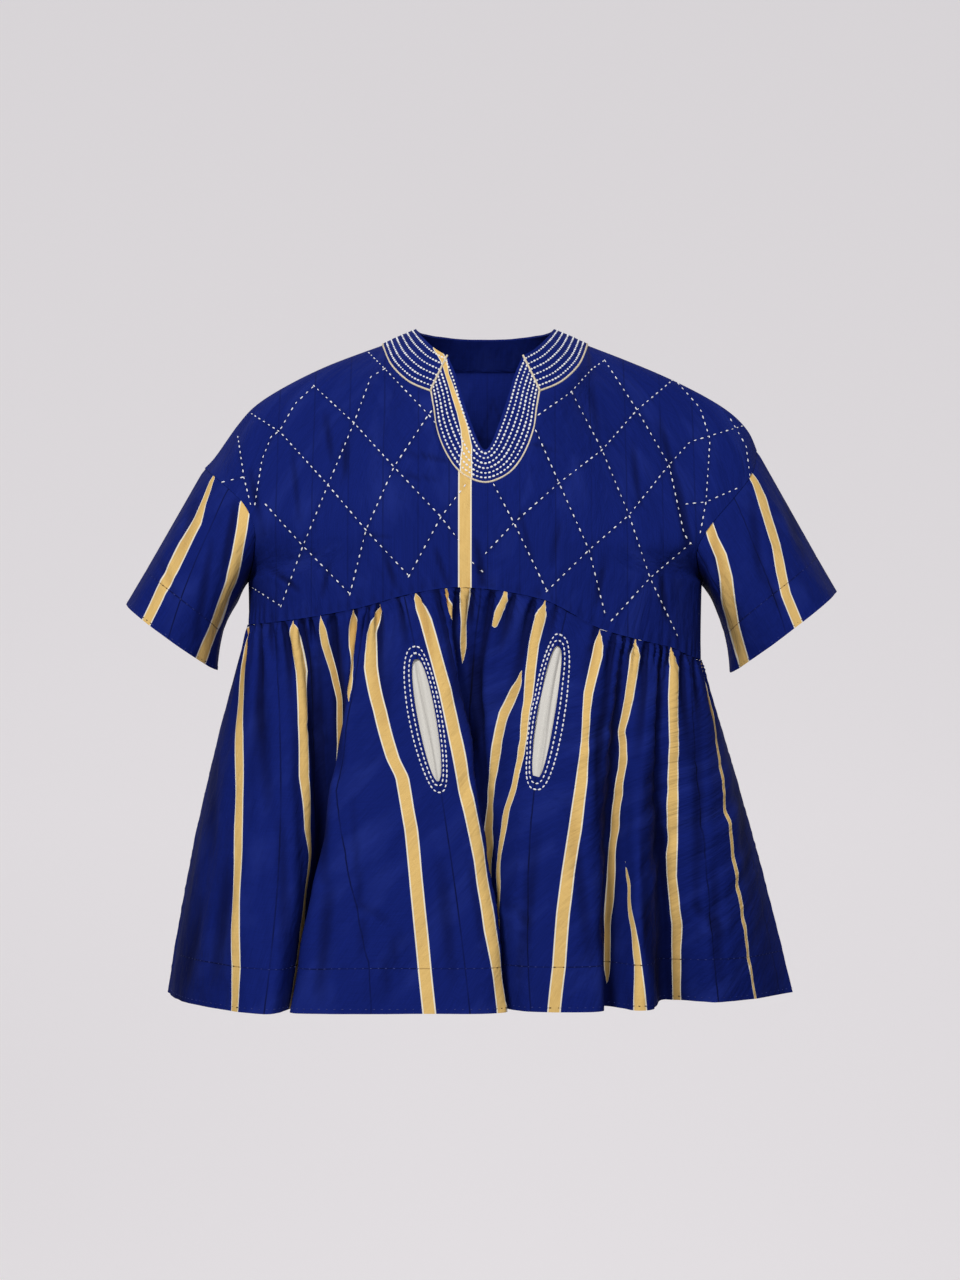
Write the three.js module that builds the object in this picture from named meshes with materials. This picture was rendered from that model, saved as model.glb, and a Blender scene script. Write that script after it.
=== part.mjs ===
// A hand-loomed smock as it hangs on its wearer: quilted yoke, wide short sleeves, gathered skirt.
// Millimetres, +Z up, the front faces -Y. The origin lies at the neck, between the shoulders.
import * as THREE from 'three';
import { mergeVertices } from 'three/addons/utils/BufferGeometryUtils.js';

// Driving dimensions
const clothWall = 1.8;        // cloth thickness
const bandWall = 1.6;         // neckband and placket thickness
const liningWall = 1.2;       // pocket lining thickness
const seamPull = 0.24;        // each piece stops this short of its seam line
const sharpCrease = 0.65;     // where neighbours fold past this cosine, each keeps its own direction
const bandLift = 0.3;         // gap between the yoke and what lies on it
const liningDrop = 0.4;       // gap between the skirt's inside and the pocket lining
const waistDrop = 0.5;        // gap between the yoke's lower edge and the skirt
const waistFront = 137;       // half depth of the body at the gather seam, front
const waistBack = 126;        // and back
const waistRound = 2.6;       // squareness of the body's section
const hemHeight = -765;       // level of the hem
const shoulderColumns = 7;     // yoke columns from the sleeve seam in to the neckband
const armholeRows = 8;
const sideRows = 3;
const ringRows = { from: 2, to: 6 };   // the yoke passes from draped to ring shape between these rows
const sleeveRows = 5;
const bandRows = 2;
const gatherColumns = { front: 4, back: 3 };   // columns to each gather of the skirt
const foldBack = 0.3;         // at the armpit each piece also keeps this far to its own side
const sleevePuff = 5;         // the sleeve's front and back swell out by this
const armpitRoom = 11;        // and its underside hangs this far clear of the body
const gatherDepth = 2.6;      // height of the small gathers at the seam
const bellyAt = 0.48;         // how far down the skirt the middle column of the fold tables lies

// Shoulder line from the sleeve seam in to the neckband, each side
const shoulder = {
  left: [
    { x: -328, z: -152 }, { x: -315, z: -138 }, { x: -288, z: -100 }, { x: -266, z: -77 },
    { x: -229, z: -54 }, { x: -181, z: -31 }, { x: -119, z: -8 },
  ],
  right: [
    { x: 318, z: -131 }, { x: 308, z: -109 }, { x: 288, z: -88 }, { x: 257, z: -68 },
    { x: 213, z: -46 }, { x: 168, z: -27 }, { x: 119, z: -8 },
  ],
};

// Armhole seam from the shoulder line down to the armpit, front half (the back mirrors it in y)
const armhole = {
  left: [
    { x: -328, y: 0, z: -152 }, { x: -315, y: -36, z: -162 }, { x: -296, y: -62, z: -178 },
    { x: -275, y: -80, z: -199 }, { x: -263, y: -84, z: -228 }, { x: -266, y: -60, z: -260 },
    { x: -277, y: 0, z: -286 },
  ],
  right: [
    { x: 318, y: 0, z: -131 }, { x: 309, y: -36, z: -160 }, { x: 287, y: -62, z: -188 },
    { x: 260, y: -80, z: -219 }, { x: 243, y: -84, z: -246 }, { x: 244, y: -60, z: -268 },
    { x: 254, y: 0, z: -286 },
  ],
};

// Sleeve openings: an oval from its upper to its lower point
const cuff = {
  left: { top: { x: -419, z: -311 }, bottom: { x: -313, z: -388 }, halfDepth: 84 },
  right: { top: { x: 411, z: -296 }, bottom: { x: 286, z: -391 }, halfDepth: 84 },
};

// Neck and slit, from the shoulder line round to the bottom of the slit: edge and outer line of the band
const neckSpokes = [
  { edge: [80, 0, 9], band: [119, 0, -8] },
  { edge: [71, -32, -4], band: [108, -52, -36] },
  { edge: [58, -55, -18], band: [87, -80, -58] },
  { edge: [43, -70, -28], band: [62, -95, -70] },
  { edge: [34, -83, -50], band: [59, -102, -88] },
  { edge: [25, -95, -80], band: [55, -108, -114] },
  { edge: [16, -104, -107], band: [44, -114, -142] },
  { edge: [7, -111, -130], band: [27, -119, -164] },
  { edge: [0, -113, -138], band: [0, -121, -175] },
];
const tipSpoke = 3;           // the mitre between neckband and placket
const backSpokes = [
  { edge: [80, 0, 9], band: [119, 0, -8] },
  { edge: [75, 30, 8], band: [111, 42, -20] },
  { edge: [60, 54, 7], band: [90, 74, -25] },
  { edge: [41, 68, 6], band: [62, 94, -28] },
  { edge: [21, 75, 5], band: [31, 105, -30] },
  { edge: [0, 77, 5], band: [0, 109, -30] },
];

// Height of the gather seam round the front and the back
const seamFront = [
  { x: -276, z: -335 }, { x: -220, z: -330 }, { x: -148, z: -318 }, { x: -78, z: -300 },
  { x: -20, z: -294 }, { x: 67, z: -308 }, { x: 132, z: -341 }, { x: 212, z: -361 },
  { x: 252, z: -376 },
];
const seamBack = [
  { x: -276, z: -335 }, { x: -180, z: -326 }, { x: -60, z: -318 }, { x: 80, z: -327 },
  { x: 180, z: -350 }, { x: 252, z: -376 },
];

// Skirt folds, one row each: place along the seam, halfway and at the hem, and depth halfway and at the hem
const frontFolds = [
  { name: 'sideLeft', seam: -276, belly: -330, hem: -371, bellyY: 0, hemY: 0 },
  { name: 'sideFrontLeft', seam: -273, belly: -314, hem: -343, bellyY: -70, hemY: -95 },
  { name: 'leftPanel', seam: -268, belly: -278, hem: -284, bellyY: -118, hemY: -176 },
  { name: 'leftPanelMiddle', seam: -249, belly: -246, hem: -256, bellyY: -134, hemY: -200 },
  { name: 'leftCrest', seam: -234, belly: -216, hem: -234, bellyY: -138, hemY: -204 },
  { name: 'leftCrestBack', seam: -219, belly: -201, hem: -221, bellyY: -122, hemY: -174 },
  { name: 'leftTrough', seam: -204, belly: -192, hem: -210, bellyY: -96, hemY: -124 },
  { name: 'leftTroughFloor', seam: -187, belly: -178, hem: -197, bellyY: -86, hemY: -102 },
  { name: 'leftTroughRise', seam: -158, belly: -165, hem: -198, bellyY: -112, hemY: -134 },
  { name: 'pocketPanelEdgeLeft', seam: -139, belly: -175, hem: -218, bellyY: -146, hemY: -188 },
  { name: 'goreLeft', seam: -127, belly: -146, hem: -176, bellyY: -163, hemY: -206 },
  { name: 'pocketPanelLeft', seam: -113, belly: -89, hem: -63, bellyY: -167, hemY: -204 },
  { name: 'pocketLeft', seam: -92, belly: -50, hem: -18, bellyY: -172, hemY: -206 },
  { name: 'pocketPanelInner', seam: -74, belly: -24, hem: 10, bellyY: -171, hemY: -200 },
  { name: 'innerEdgeLeft', seam: -52, belly: -7, hem: 24, bellyY: -158, hemY: -184 },
  { name: 'innerBackLeft', seam: -40, belly: -26, hem: 9, bellyY: -129, hemY: -152 },
  { name: 'centreTroughLeft', seam: -27, belly: -30, hem: 3, bellyY: -103, hemY: -118 },
  { name: 'centreTrough', seam: -7, belly: -19, hem: 9, bellyY: -91, hemY: -98 },
  { name: 'innerFold', seam: 20, belly: -10, hem: 19, bellyY: -118, hemY: -120 },
  { name: 'innerFoldBack', seam: 45, belly: 9, hem: 21, bellyY: -131, hemY: -138 },
  { name: 'innerEdgeRight', seam: 66, belly: 25, hem: 27, bellyY: -152, hemY: -163 },
  { name: 'pocketRight', seam: 92, belly: 53, hem: 50, bellyY: -170, hemY: -186 },
  { name: 'pocketPanelRight', seam: 132, belly: 102, hem: 84, bellyY: -173, hemY: -192 },
  { name: 'pocketPanelEdgeRight', seam: 149, belly: 129, hem: 127, bellyY: -161, hemY: -182 },
  { name: 'narrowTrough', seam: 160, belly: 138, hem: 131, bellyY: -124, hemY: -136 },
  { name: 'narrowCrestRise', seam: 172, belly: 156, hem: 143, bellyY: -134, hemY: -141 },
  { name: 'narrowCrest', seam: 187, belly: 174, hem: 168, bellyY: -150, hemY: -174 },
  { name: 'narrowCrestBack', seam: 196, belly: 187, hem: 188, bellyY: -138, hemY: -158 },
  { name: 'rightTrough', seam: 203, belly: 196, hem: 202, bellyY: -108, hemY: -78 },
  { name: 'rightPanelEdge', seam: 214, belly: 213, hem: 220, bellyY: -112, hemY: -74 },
  { name: 'rightPanel', seam: 230, belly: 243, hem: 261, bellyY: -108, hemY: -98 },
  { name: 'rightPanelOuter', seam: 245, belly: 275, hem: 305, bellyY: -84, hemY: -70 },
  { name: 'sideFrontRight', seam: 250, belly: 295, hem: 334, bellyY: -48, hemY: -34 },
  { name: 'sideRight', seam: 252, belly: 308, hem: 360, bellyY: 0, hemY: 0 },
];
const backFolds = [
  { name: 'sideRight', seam: 252, belly: 308, hem: 360, bellyY: 0, hemY: 0 },
  { name: 'sideBackRight', seam: 250, belly: 302, hem: 350, bellyY: 54, hemY: 62 },
  { name: 'crestOne', seam: 240, belly: 276, hem: 316, bellyY: 104, hemY: 142 },
  { name: 'troughOne', seam: 222, belly: 244, hem: 272, bellyY: 104, hemY: 122 },
  { name: 'crestTwo', seam: 203, belly: 218, hem: 240, bellyY: 134, hemY: 186 },
  { name: 'crestTwoBack', seam: 186, belly: 190, hem: 206, bellyY: 138, hemY: 194 },
  { name: 'troughTwo', seam: 166, belly: 166, hem: 178, bellyY: 116, hemY: 140 },
  { name: 'crestThree', seam: 144, belly: 144, hem: 152, bellyY: 142, hemY: 190 },
  { name: 'crestThreeBack', seam: 122, belly: 117, hem: 118, bellyY: 152, hemY: 208 },
  { name: 'troughThree', seam: 98, belly: 93, hem: 88, bellyY: 124, hemY: 154 },
  { name: 'crestFour', seam: 74, belly: 71, hem: 66, bellyY: 150, hemY: 200 },
  { name: 'crestFourBack', seam: 50, belly: 42, hem: 26, bellyY: 156, hemY: 212 },
  { name: 'troughFour', seam: 26, belly: 18, hem: 0, bellyY: 120, hemY: 138 },
  { name: 'crestFive', seam: 2, belly: -5, hem: -28, bellyY: 150, hemY: 196 },
  { name: 'crestFiveBack', seam: -24, belly: -35, hem: -64, bellyY: 157, hemY: 214 },
  { name: 'troughFive', seam: -50, belly: -62, hem: -92, bellyY: 128, hemY: 160 },
  { name: 'crestSix', seam: -76, belly: -86, hem: -112, bellyY: 150, hemY: 198 },
  { name: 'crestSixBack', seam: -102, belly: -114, hem: -146, bellyY: 152, hemY: 206 },
  { name: 'troughSix', seam: -128, belly: -142, hem: -170, bellyY: 118, hemY: 142 },
  { name: 'crestSeven', seam: -153, belly: -166, hem: -192, bellyY: 140, hemY: 186 },
  { name: 'crestSevenBack', seam: -178, belly: -194, hem: -226, bellyY: 138, hemY: 190 },
  { name: 'troughSeven', seam: -201, belly: -220, hem: -254, bellyY: 108, hemY: 128 },
  { name: 'crestEight', seam: -224, belly: -248, hem: -284, bellyY: 116, hemY: 158 },
  { name: 'crestEightBack', seam: -250, belly: -284, hem: -322, bellyY: 100, hemY: 136 },
  { name: 'sideBackLeft', seam: -272, belly: -322, hem: -360, bellyY: 52, hemY: 64 },
  { name: 'sideLeft', seam: -276, belly: -330, hem: -371, bellyY: 0, hemY: 0 },
];

// Pocket slits: the fold that carries each, where it starts and ends down the skirt, half width in folds
const pockets = [
  { name: 'left', fold: 12, rows: [3, 8], half: 0.36 },
  { name: 'right', fold: 21, rows: [2, 7], half: 0.24 },
];
const skirtLevels = [0, 0.045, 0.085, 0.14, 0.22, 0.3, 0.38, 0.42, 0.455, 0.62, 0.8, 1];

const colours = { cloth: 0x1a2380, quilt: 0x18217a, band: 0x2a3590, lining: 0xe0dcd2 };

const mix = (a, b, t) => a + (b - a) * t;
const clamp = (v, lo, hi) => Math.min(hi, Math.max(lo, v));

// Smooth value through a table's rows at a fractional row number
function smooth(rows, key, at) {
  const last = rows.length - 1;
  const i = clamp(Math.floor(at), 0, last - 1);
  const t = at - i;
  const value = (k) => rows[clamp(k, 0, last)][key];
  const [a, b, c, d] = [value(i - 1), value(i), value(i + 1), value(i + 2)];
  const m0 = (c - a) / 2;
  const m1 = (d - b) / 2;
  const t2 = t * t;
  const t3 = t2 * t;
  return (2 * t3 - 3 * t2 + 1) * b + (t3 - 2 * t2 + t) * m0 + (3 * t2 - 2 * t3) * c + (t3 - t2) * m1;
}

// Smooth height z at x in a table that runs in x
function level(rows, x) {
  let i = 0;
  while (i < rows.length - 2 && x > rows[i + 1].x) i++;
  return smooth(rows, 'z', i + clamp((x - rows[i].x) / (rows[i + 1].x - rows[i].x), 0, 1));
}

const halfWidth = (x) => (x < 0 ? 276 : 252);

// Depth of the body's section at the gather seam
function bodyDepth(x, depth) {
  const reach = Math.min(1, Math.abs(x) / halfWidth(x));
  return depth * Math.pow(1 - Math.pow(reach, waistRound), 1 / waistRound);
}

// The cloth surface: shared corner points, and the pieces as lists of four-sided patches
const points = [];
const seen = new Map();
function corner(x, y, z) {
  const key = `${Math.round(x * 40)},${Math.round(y * 40)},${Math.round(z * 40)}`;
  if (!seen.has(key)) {
    seen.set(key, points.length);
    points.push(new THREE.Vector3(x, y, z));
  }
  return seen.get(key);
}

// Grid of corners to patches, seen from outside; flip turns the outside round
function patches(grid, flip, keep = () => true) {
  const list = [];
  for (let i = 0; i + 1 < grid.length; i++) {
    for (let j = 0; j + 1 < grid[i].length; j++) {
      if (!keep(i, j)) continue;
      const quad = [grid[i][j], grid[i + 1][j], grid[i + 1][j + 1], grid[i][j + 1]];
      list.push(flip ? quad.reverse() : quad);
    }
  }
  return list;
}

// One quarter of the yoke: side is -1 left or 1 right, face is -1 front or 1 back
function yokeQuarter(side, face) {
  const key = side < 0 ? 'left' : 'right';
  const spokes = face < 0 ? neckSpokes : backSpokes;
  const bandColumns = spokes.length - 1;
  const columns = shoulderColumns + bandColumns;
  const rows = armholeRows + sideRows;
  const waistDepth = face < 0 ? waistFront : waistBack;
  const seamLine = face < 0 ? seamFront : seamBack;
  const ridge = shoulder[key];
  const seam = armhole[key];
  const lastSpoke = spokes[bandColumns].band;
  const sideX = side * halfWidth(side);
  const sideZ = level(seamLine, sideX);

  const top = (j) => {
    if (j >= shoulderColumns) {
      const [x, y, z] = spokes[j - shoulderColumns].band;
      return { x: side * x, y, z };
    }
    const at = (j / shoulderColumns) * (ridge.length - 1);
    return { x: smooth(ridge, 'x', at), y: 0, z: smooth(ridge, 'z', at) };
  };
  const bottom = (j) => {
    const turn = (Math.PI / 2) * (1 - j / columns);
    const x = side * halfWidth(side) * Math.pow(Math.sin(turn), 1.25);
    return { x, y: face * bodyDepth(x, waistDepth), z: level(seamLine, x) };
  };
  const outer = (i) => {
    if (i <= armholeRows) {
      const at = (i / armholeRows) * (seam.length - 1);
      return { x: smooth(seam, 'x', at), y: -face * smooth(seam, 'y', at), z: smooth(seam, 'z', at) };
    }
    const t = (i - armholeRows) / sideRows;
    const pit = seam[seam.length - 1];
    return { x: mix(pit.x, sideX, Math.sqrt(t)), y: 0, z: mix(pit.z, sideZ, t) };
  };
  const centre = (i) => ({ x: 0, z: mix(lastSpoke[2], level(seamLine, 0), down(i)) });

  const down = (i) => Math.pow(i / rows, 1.25);
  const point = (i, j) => {
    const u = j / columns;
    const v = down(i);
    const [t, b, o, c] = [top(j), bottom(j), outer(i), centre(i)];
    const [t0, t1, b0, b1] = [top(0), top(columns), bottom(0), bottom(columns)];
    const blend = (k) => mix(t[k], b[k], v) + mix(o[k], c[k], u)
      - mix(mix(t0[k], t1[k], u), mix(b0[k], b1[k], u), v);
    const swell = Math.pow(1 - Math.pow(1 - v, 2.2), 0.6);
    const body = Math.abs(mix(t.y, b.y, swell));
    const arm = Math.abs(o.y) * Math.exp(-Math.pow(u / 0.3, 2));
    const draped = [blend('x'), face * Math.pow(Math.pow(body, 4) + Math.pow(arm, 4), 0.25), blend('z')];
    // lower down the rows are plain rings round the body, from the armhole or side seam to the centre
    const deep = mix(Math.abs(lastSpoke[1]), waistDepth, swell);
    const start = Math.acos(Math.abs(o.y) / deep);
    const wide = Math.abs(o.x) / Math.pow(1 - Math.pow(Math.abs(o.y) / deep, waistRound), 1 / waistRound);
    const out = Math.abs(o.x) * Math.sin(start * (1 - u)) / Math.sin(start);
    const ringY = deep * Math.pow(Math.max(0, 1 - Math.pow(out / wide, waistRound)), 1 / waistRound);
    const bow = level(seamLine, side * out) - mix(sideZ, level(seamLine, 0), u);
    const ring = [side * out, face * ringY, mix(o.z, c.z, u) + bow * v * v];
    const share = THREE.MathUtils.smoothstep(i, ringRows.from, ringRows.to);
    return draped.map((value, k) => mix(value, ring[k], share));
  };

  const grid = [];
  for (let i = 0; i <= rows; i++) {
    grid.push([]);
    for (let j = 0; j <= columns; j++) grid[i].push(corner(...point(i, j)));
  }
  const band = [];
  for (let i = 0; i <= bandRows; i++) {
    band.push([]);
    for (let j = 0; j <= bandColumns; j++) {
      const { edge, band: line } = spokes[j];
      const p = [0, 1, 2].map((k) => mix(edge[k], line[k], i / bandRows));
      band[i].push(corner(side * p[0], p[1], p[2]));
    }
  }
  const flip = side * face < 0;
  return { grid, main: patches(grid, flip), bandPatches: (keep) => patches(band, flip, keep) };
}

const quarter = {};
for (const [sideName, side] of [['left', -1], ['right', 1]]) {
  for (const [faceName, face] of [['front', -1], ['back', 1]]) {
    quarter[`${faceName}_${sideName}`] = yokeQuarter(side, face);
  }
}
const bandOf = (name, keep) => quarter[name].bandPatches(keep);

// Sleeve: rings from the armhole seam to the oval of the cuff
function sleevePatches(side) {
  const key = side < 0 ? 'left' : 'right';
  const front = quarter[`front_${key}`].grid;
  const back = quarter[`back_${key}`].grid;
  const loop = [];
  for (let i = 0; i <= armholeRows; i++) loop.push(points[front[i][0]]);
  for (let i = armholeRows - 1; i > 0; i--) loop.push(points[back[i][0]]);
  const { top, bottom, halfDepth } = cuff[key];
  const grid = [];
  for (let r = 0; r <= sleeveRows; r++) {
    const w = r / sleeveRows;
    grid.push([]);
    for (let k = 0; k <= loop.length; k++) {
      const start = loop[k % loop.length];
      const turn = (Math.PI * k) / armholeRows;
      const across = (1 - Math.cos(turn)) / 2;
      const end = {
        x: mix(top.x, bottom.x, across),
        y: -halfDepth * Math.sin(turn),
        z: mix(top.z, bottom.z, across),
      };
      const belly = Math.sin(Math.PI * w);
      const puff = -sleevePuff * belly * Math.sin(turn);
      const away = side * armpitRoom * belly * across ** 2;
      grid[r].push(corner(mix(start.x, end.x, w) + away, mix(start.y, end.y, w) + puff, mix(start.z, end.z, w)));
    }
  }
  return patches(grid, side > 0);
}

// Point of the skirt at fold number s and height t (0 at the gather seam, 1 at the hem)
function skirtPoint(folds, seamLine, depth, face, s, t) {
  const through = (a, b, c) => {
    const m = bellyAt;
    return a * ((t - m) * (t - 1)) / m + b * (t * (t - 1)) / (m * (m - 1)) + c * (t * (t - m)) / (1 - m);
  };
  const seamX = smooth(folds, 'seam', s);
  const gather = gatherDepth * Math.cos(2 * Math.PI * s) * Math.pow(1 - t, 5);
  const ends = Math.min(1, s, folds.length - 1 - s);
  const seamY = face * (bodyDepth(seamX, depth) + gather * ends);
  const x = through(seamX, smooth(folds, 'belly', s), smooth(folds, 'hem', s));
  const y = through(seamY, smooth(folds, 'bellyY', s), smooth(folds, 'hemY', s));
  const z = mix(level(seamLine, seamX) - waistDrop, hemHeight, t);
  return [x, y, z];
}

// Skirt grid; pocket slits draw the columns beside them to their outline
function skirtGrid(folds, seamLine, depth, face, perGather, slits) {
  const columns = (folds.length - 1) * perGather;
  const grid = [];
  skirtLevels.forEach((t, i) => {
    grid.push([]);
    for (let j = 0; j <= columns; j++) {
      let s = j / perGather;
      for (const slit of slits) {
        const away = s - slit.fold;
        const [from, to] = slit.rows;
        if (Math.abs(away) <= 0.5 && i >= from && i <= to) {
          const along = (2 * (i - from)) / (to - from) - 1;
          const half = slit.half * Math.max(0.35, Math.pow(1 - along * along, 0.35));
          s = slit.fold + (away / 0.5) * half;
        }
      }
      grid[i].push(corner(...skirtPoint(folds, seamLine, depth, face, s, t)));
    }
  });
  return grid;
}

const inSlit = (slit, i, j) => i >= slit.rows[0] && i < slit.rows[1]
  && Math.abs((j + 0.5) / gatherColumns.front - slit.fold) < 0.5;
const aroundSlit = (slit, i, j) => i >= slit.rows[0] - 1 && i <= slit.rows[1]
  && Math.abs((j + 0.5) / gatherColumns.front - slit.fold) < 1;

const frontGrid = skirtGrid(frontFolds, seamFront, waistFront, -1, gatherColumns.front, pockets);
const backGrid = skirtGrid(backFolds, seamBack, waistBack, 1, gatherColumns.back, []);

// The pieces; those that lie on or behind another use its patches, moved by lift
const pieces = {
  yoke_front: {
    quads: [...quarter.front_left.main, ...quarter.front_right.main,
      ...bandOf('front_left'), ...bandOf('front_right')],
    colour: colours.quilt,
  },
  yoke_back: {
    quads: [...quarter.back_left.main, ...quarter.back_right.main,
      ...bandOf('back_left'), ...bandOf('back_right')],
    colour: colours.quilt,
  },
  sleeve_left: { quads: sleevePatches(-1), colour: colours.cloth },
  sleeve_right: { quads: sleevePatches(1), colour: colours.cloth },
  skirt_front: {
    quads: patches(frontGrid, false, (i, j) => !pockets.some((slit) => inSlit(slit, i, j))),
    colour: colours.cloth,
  },
  skirt_back: { quads: patches(backGrid, false), colour: colours.cloth },
  neckband: {
    quads: [...bandOf('front_left', (i, j) => j < tipSpoke), ...bandOf('front_right', (i, j) => j < tipSpoke),
      ...bandOf('back_left'), ...bandOf('back_right')],
    colour: colours.band,
    lift: bandLift + bandWall,
    wall: bandWall,
  },
  placket: {
    quads: [...bandOf('front_left', (i, j) => j >= tipSpoke), ...bandOf('front_right', (i, j) => j >= tipSpoke)],
    colour: colours.band,
    lift: bandLift + bandWall,
    wall: bandWall,
  },
};
for (const slit of pockets) {
  pieces[`pocket_lining_${slit.name}`] = {
    quads: patches(frontGrid, false, (i, j) => aroundSlit(slit, i, j)),
    colour: colours.lining,
    lift: -(clothWall + liningDrop),
    wall: liningWall,
  };
}

// Surface directions at the corners, of one list of patches
function directions(quads) {
  const found = new Map();
  for (const quad of quads) {
    const [a, b, c, d] = quad.map((k) => points[k]);
    const n = new THREE.Vector3().crossVectors(
      new THREE.Vector3().subVectors(c, a),
      new THREE.Vector3().subVectors(d, b),
    ).normalize();
    for (const k of new Set(quad)) {
      if (!found.has(k)) found.set(k, new THREE.Vector3());
      found.get(k).add(n);
    }
  }
  found.forEach((n) => n.normalize());
  return found;
}

// Shared by all cloth pieces, so that neighbours meet face to face along a seam
const skirtWhole = patches(frontGrid, false);
const allCloth = [...pieces.yoke_front.quads, ...pieces.yoke_back.quads, ...pieces.sleeve_left.quads,
  ...pieces.sleeve_right.quads, ...skirtWhole, ...pieces.skirt_back.quads];
const shared = directions(allCloth);

// Closed wall from a piece's patches: outer skin at lift, inner skin a wall deeper
function wallGeometry({ quads, lift = 0, wall = clothWall }) {
  const own = directions(quads);
  const sharp = new Set([...own.keys()].filter((k) => own.get(k).dot(shared.get(k)) < sharpCrease));
  const direction = (k) => (sharp.has(k) ? own : shared).get(k);
  const edges = new Map();
  for (const quad of quads) {
    quad.forEach((a, k) => {
      const b = quad[(k + 1) % quad.length];
      if (a === b) return;
      const reverse = `${b},${a}`;
      if (edges.has(reverse)) edges.delete(reverse);
      else edges.set(`${a},${b}`, [a, b]);
    });
  }
  const rim = new Set([...edges.values()].flat());
  const inward = new Map();
  for (const quad of quads) {
    for (const k of quad) {
      if (!rim.has(k)) continue;
      const centre = new THREE.Vector3();
      quad.forEach((q) => centre.addScaledVector(points[q], 1 / quad.length));
      const way = centre.sub(points[k]);
      way.addScaledVector(direction(k), -way.dot(direction(k))).normalize();
      if (!inward.has(k)) inward.set(k, new THREE.Vector3());
      inward.get(k).add(way);
    }
  }
  const used = [...new Set(quads.flat())];
  const place = new Map(used.map((k, i) => [k, i]));
  const position = [];
  for (const depth of [lift, lift - wall]) {
    for (const k of used) {
      const p = points[k].clone();
      if (inward.has(k)) p.addScaledVector(inward.get(k).clone().normalize(), seamPull);
      p.addScaledVector(direction(k), depth - (sharp.has(k) ? foldBack : 0));
      position.push(p.x, p.y, p.z);
    }
  }
  const index = [];
  const triangle = (a, b, c) => {
    if (a !== b && b !== c && a !== c) index.push(a, b, c);
  };
  const count = used.length;
  for (const quad of quads) {
    const [a, b, c, d] = quad.map((k) => place.get(k));
    triangle(a, b, c);
    triangle(a, c, d);
    triangle(a + count, c + count, b + count);
    triangle(a + count, d + count, c + count);
  }
  for (const [a, b] of edges.values()) {
    const [p, q] = [place.get(a), place.get(b)];
    triangle(p, p + count, q + count);
    triangle(p, q + count, q);
  }
  const geometry = new THREE.BufferGeometry();
  geometry.setAttribute('position', new THREE.Float32BufferAttribute(position, 3));
  geometry.setIndex(index);
  return mergeVertices(geometry, 1e-4);
}

const smock = new THREE.Group();
for (const [name, piece] of Object.entries(pieces)) {
  const geometry = wallGeometry(piece);
  geometry.computeVertexNormals();
  const material = new THREE.MeshStandardMaterial({ color: piece.colour, roughness: 0.85, metalness: 0 });
  const mesh = new THREE.Mesh(geometry, material);
  mesh.name = name;
  smock.add(mesh);
}

export default smock;
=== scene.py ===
import math
import bpy
import numpy as np
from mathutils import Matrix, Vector
from mathutils.bvhtree import BVHTree


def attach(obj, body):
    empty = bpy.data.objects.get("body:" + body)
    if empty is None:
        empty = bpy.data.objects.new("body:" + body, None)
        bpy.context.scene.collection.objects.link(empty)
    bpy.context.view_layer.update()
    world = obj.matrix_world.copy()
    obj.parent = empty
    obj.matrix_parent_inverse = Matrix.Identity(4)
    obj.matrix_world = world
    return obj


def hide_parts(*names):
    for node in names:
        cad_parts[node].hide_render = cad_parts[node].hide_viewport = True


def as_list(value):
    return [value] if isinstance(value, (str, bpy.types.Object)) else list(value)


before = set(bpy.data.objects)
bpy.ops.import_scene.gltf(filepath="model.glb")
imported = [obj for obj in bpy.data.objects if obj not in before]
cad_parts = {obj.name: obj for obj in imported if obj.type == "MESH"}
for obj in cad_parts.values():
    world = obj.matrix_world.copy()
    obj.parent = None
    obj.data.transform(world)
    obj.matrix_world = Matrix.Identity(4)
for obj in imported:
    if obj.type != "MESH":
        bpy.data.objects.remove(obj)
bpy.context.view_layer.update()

scene = bpy.context.scene

# All cloth is worked out in millimetres and made in metres. The origin is at the neck, the front faces -Y.
garment = {
    "waistFront": 137, "waistBack": 126, "waistRound": 2.6,     # depths of the seam under the yoke
    "halfLeft": 276, "halfRight": 252,                          # half widths there
    "hem": -765, "belly": 0.48, "waistDrop": 0.5, "gather": 2.6,
    "cloth": 1.2, "band": 1.3,                                  # thicknesses
    "mergePerMm": 40, "sharpAngle": 55,
}

# The flat layout of stripes, creases and trims is drawn square on, right and down from its corner in units of
# so many millimetres, and cast onto the cloth from the eye.
flatLayout = {"unit": 1.17, "middleRight": 480, "middleDown": 640}
eye = Vector((-5.85, -3500.0, -353.0))


def spot(right, down):
    return (eye.x + (right - flatLayout["middleRight"]) * flatLayout["unit"],
            eye.z - (down - flatLayout["middleDown"]) * flatLayout["unit"])


# camera and light
cameraSetting = {"lens": 84.13, "sensor": 36, "farthest": 60}
cameraData = bpy.data.cameras.new("camera")
cameraData.lens = cameraSetting["lens"]
cameraData.sensor_width = cameraSetting["sensor"]
cameraData.clip_end = cameraSetting["farthest"]
camera = bpy.data.objects.new("camera", cameraData)
camera.location = eye * 0.001
camera.rotation_euler = (math.pi / 2, 0, 0)
scene.collection.objects.link(camera)
scene.camera = camera

scene.view_settings.view_transform = "Standard"

lighting = {
    "world": (0.86, 0.85, 0.88), "worldStrength": 0.12, "room": (0.705, 0.675, 0.70), "aim": (0, 0, -0.4),
    "areas": [  # name, place in metres, size and power
        ("keyLeft", (-1.4, -3.6, 2.3), 0.9, 122),
        ("keyRight", (1.3, -4.2, 1.0), 1.1, 42),
        ("front", (0.1, -4.6, -0.4), 1.6, 20),
        ("backLeft", (-1.8, 2.1, 1.6), 1.2, 20),
        ("backRight", (1.9, 2.1, 1.4), 1.2, 20),
    ],
}


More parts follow.
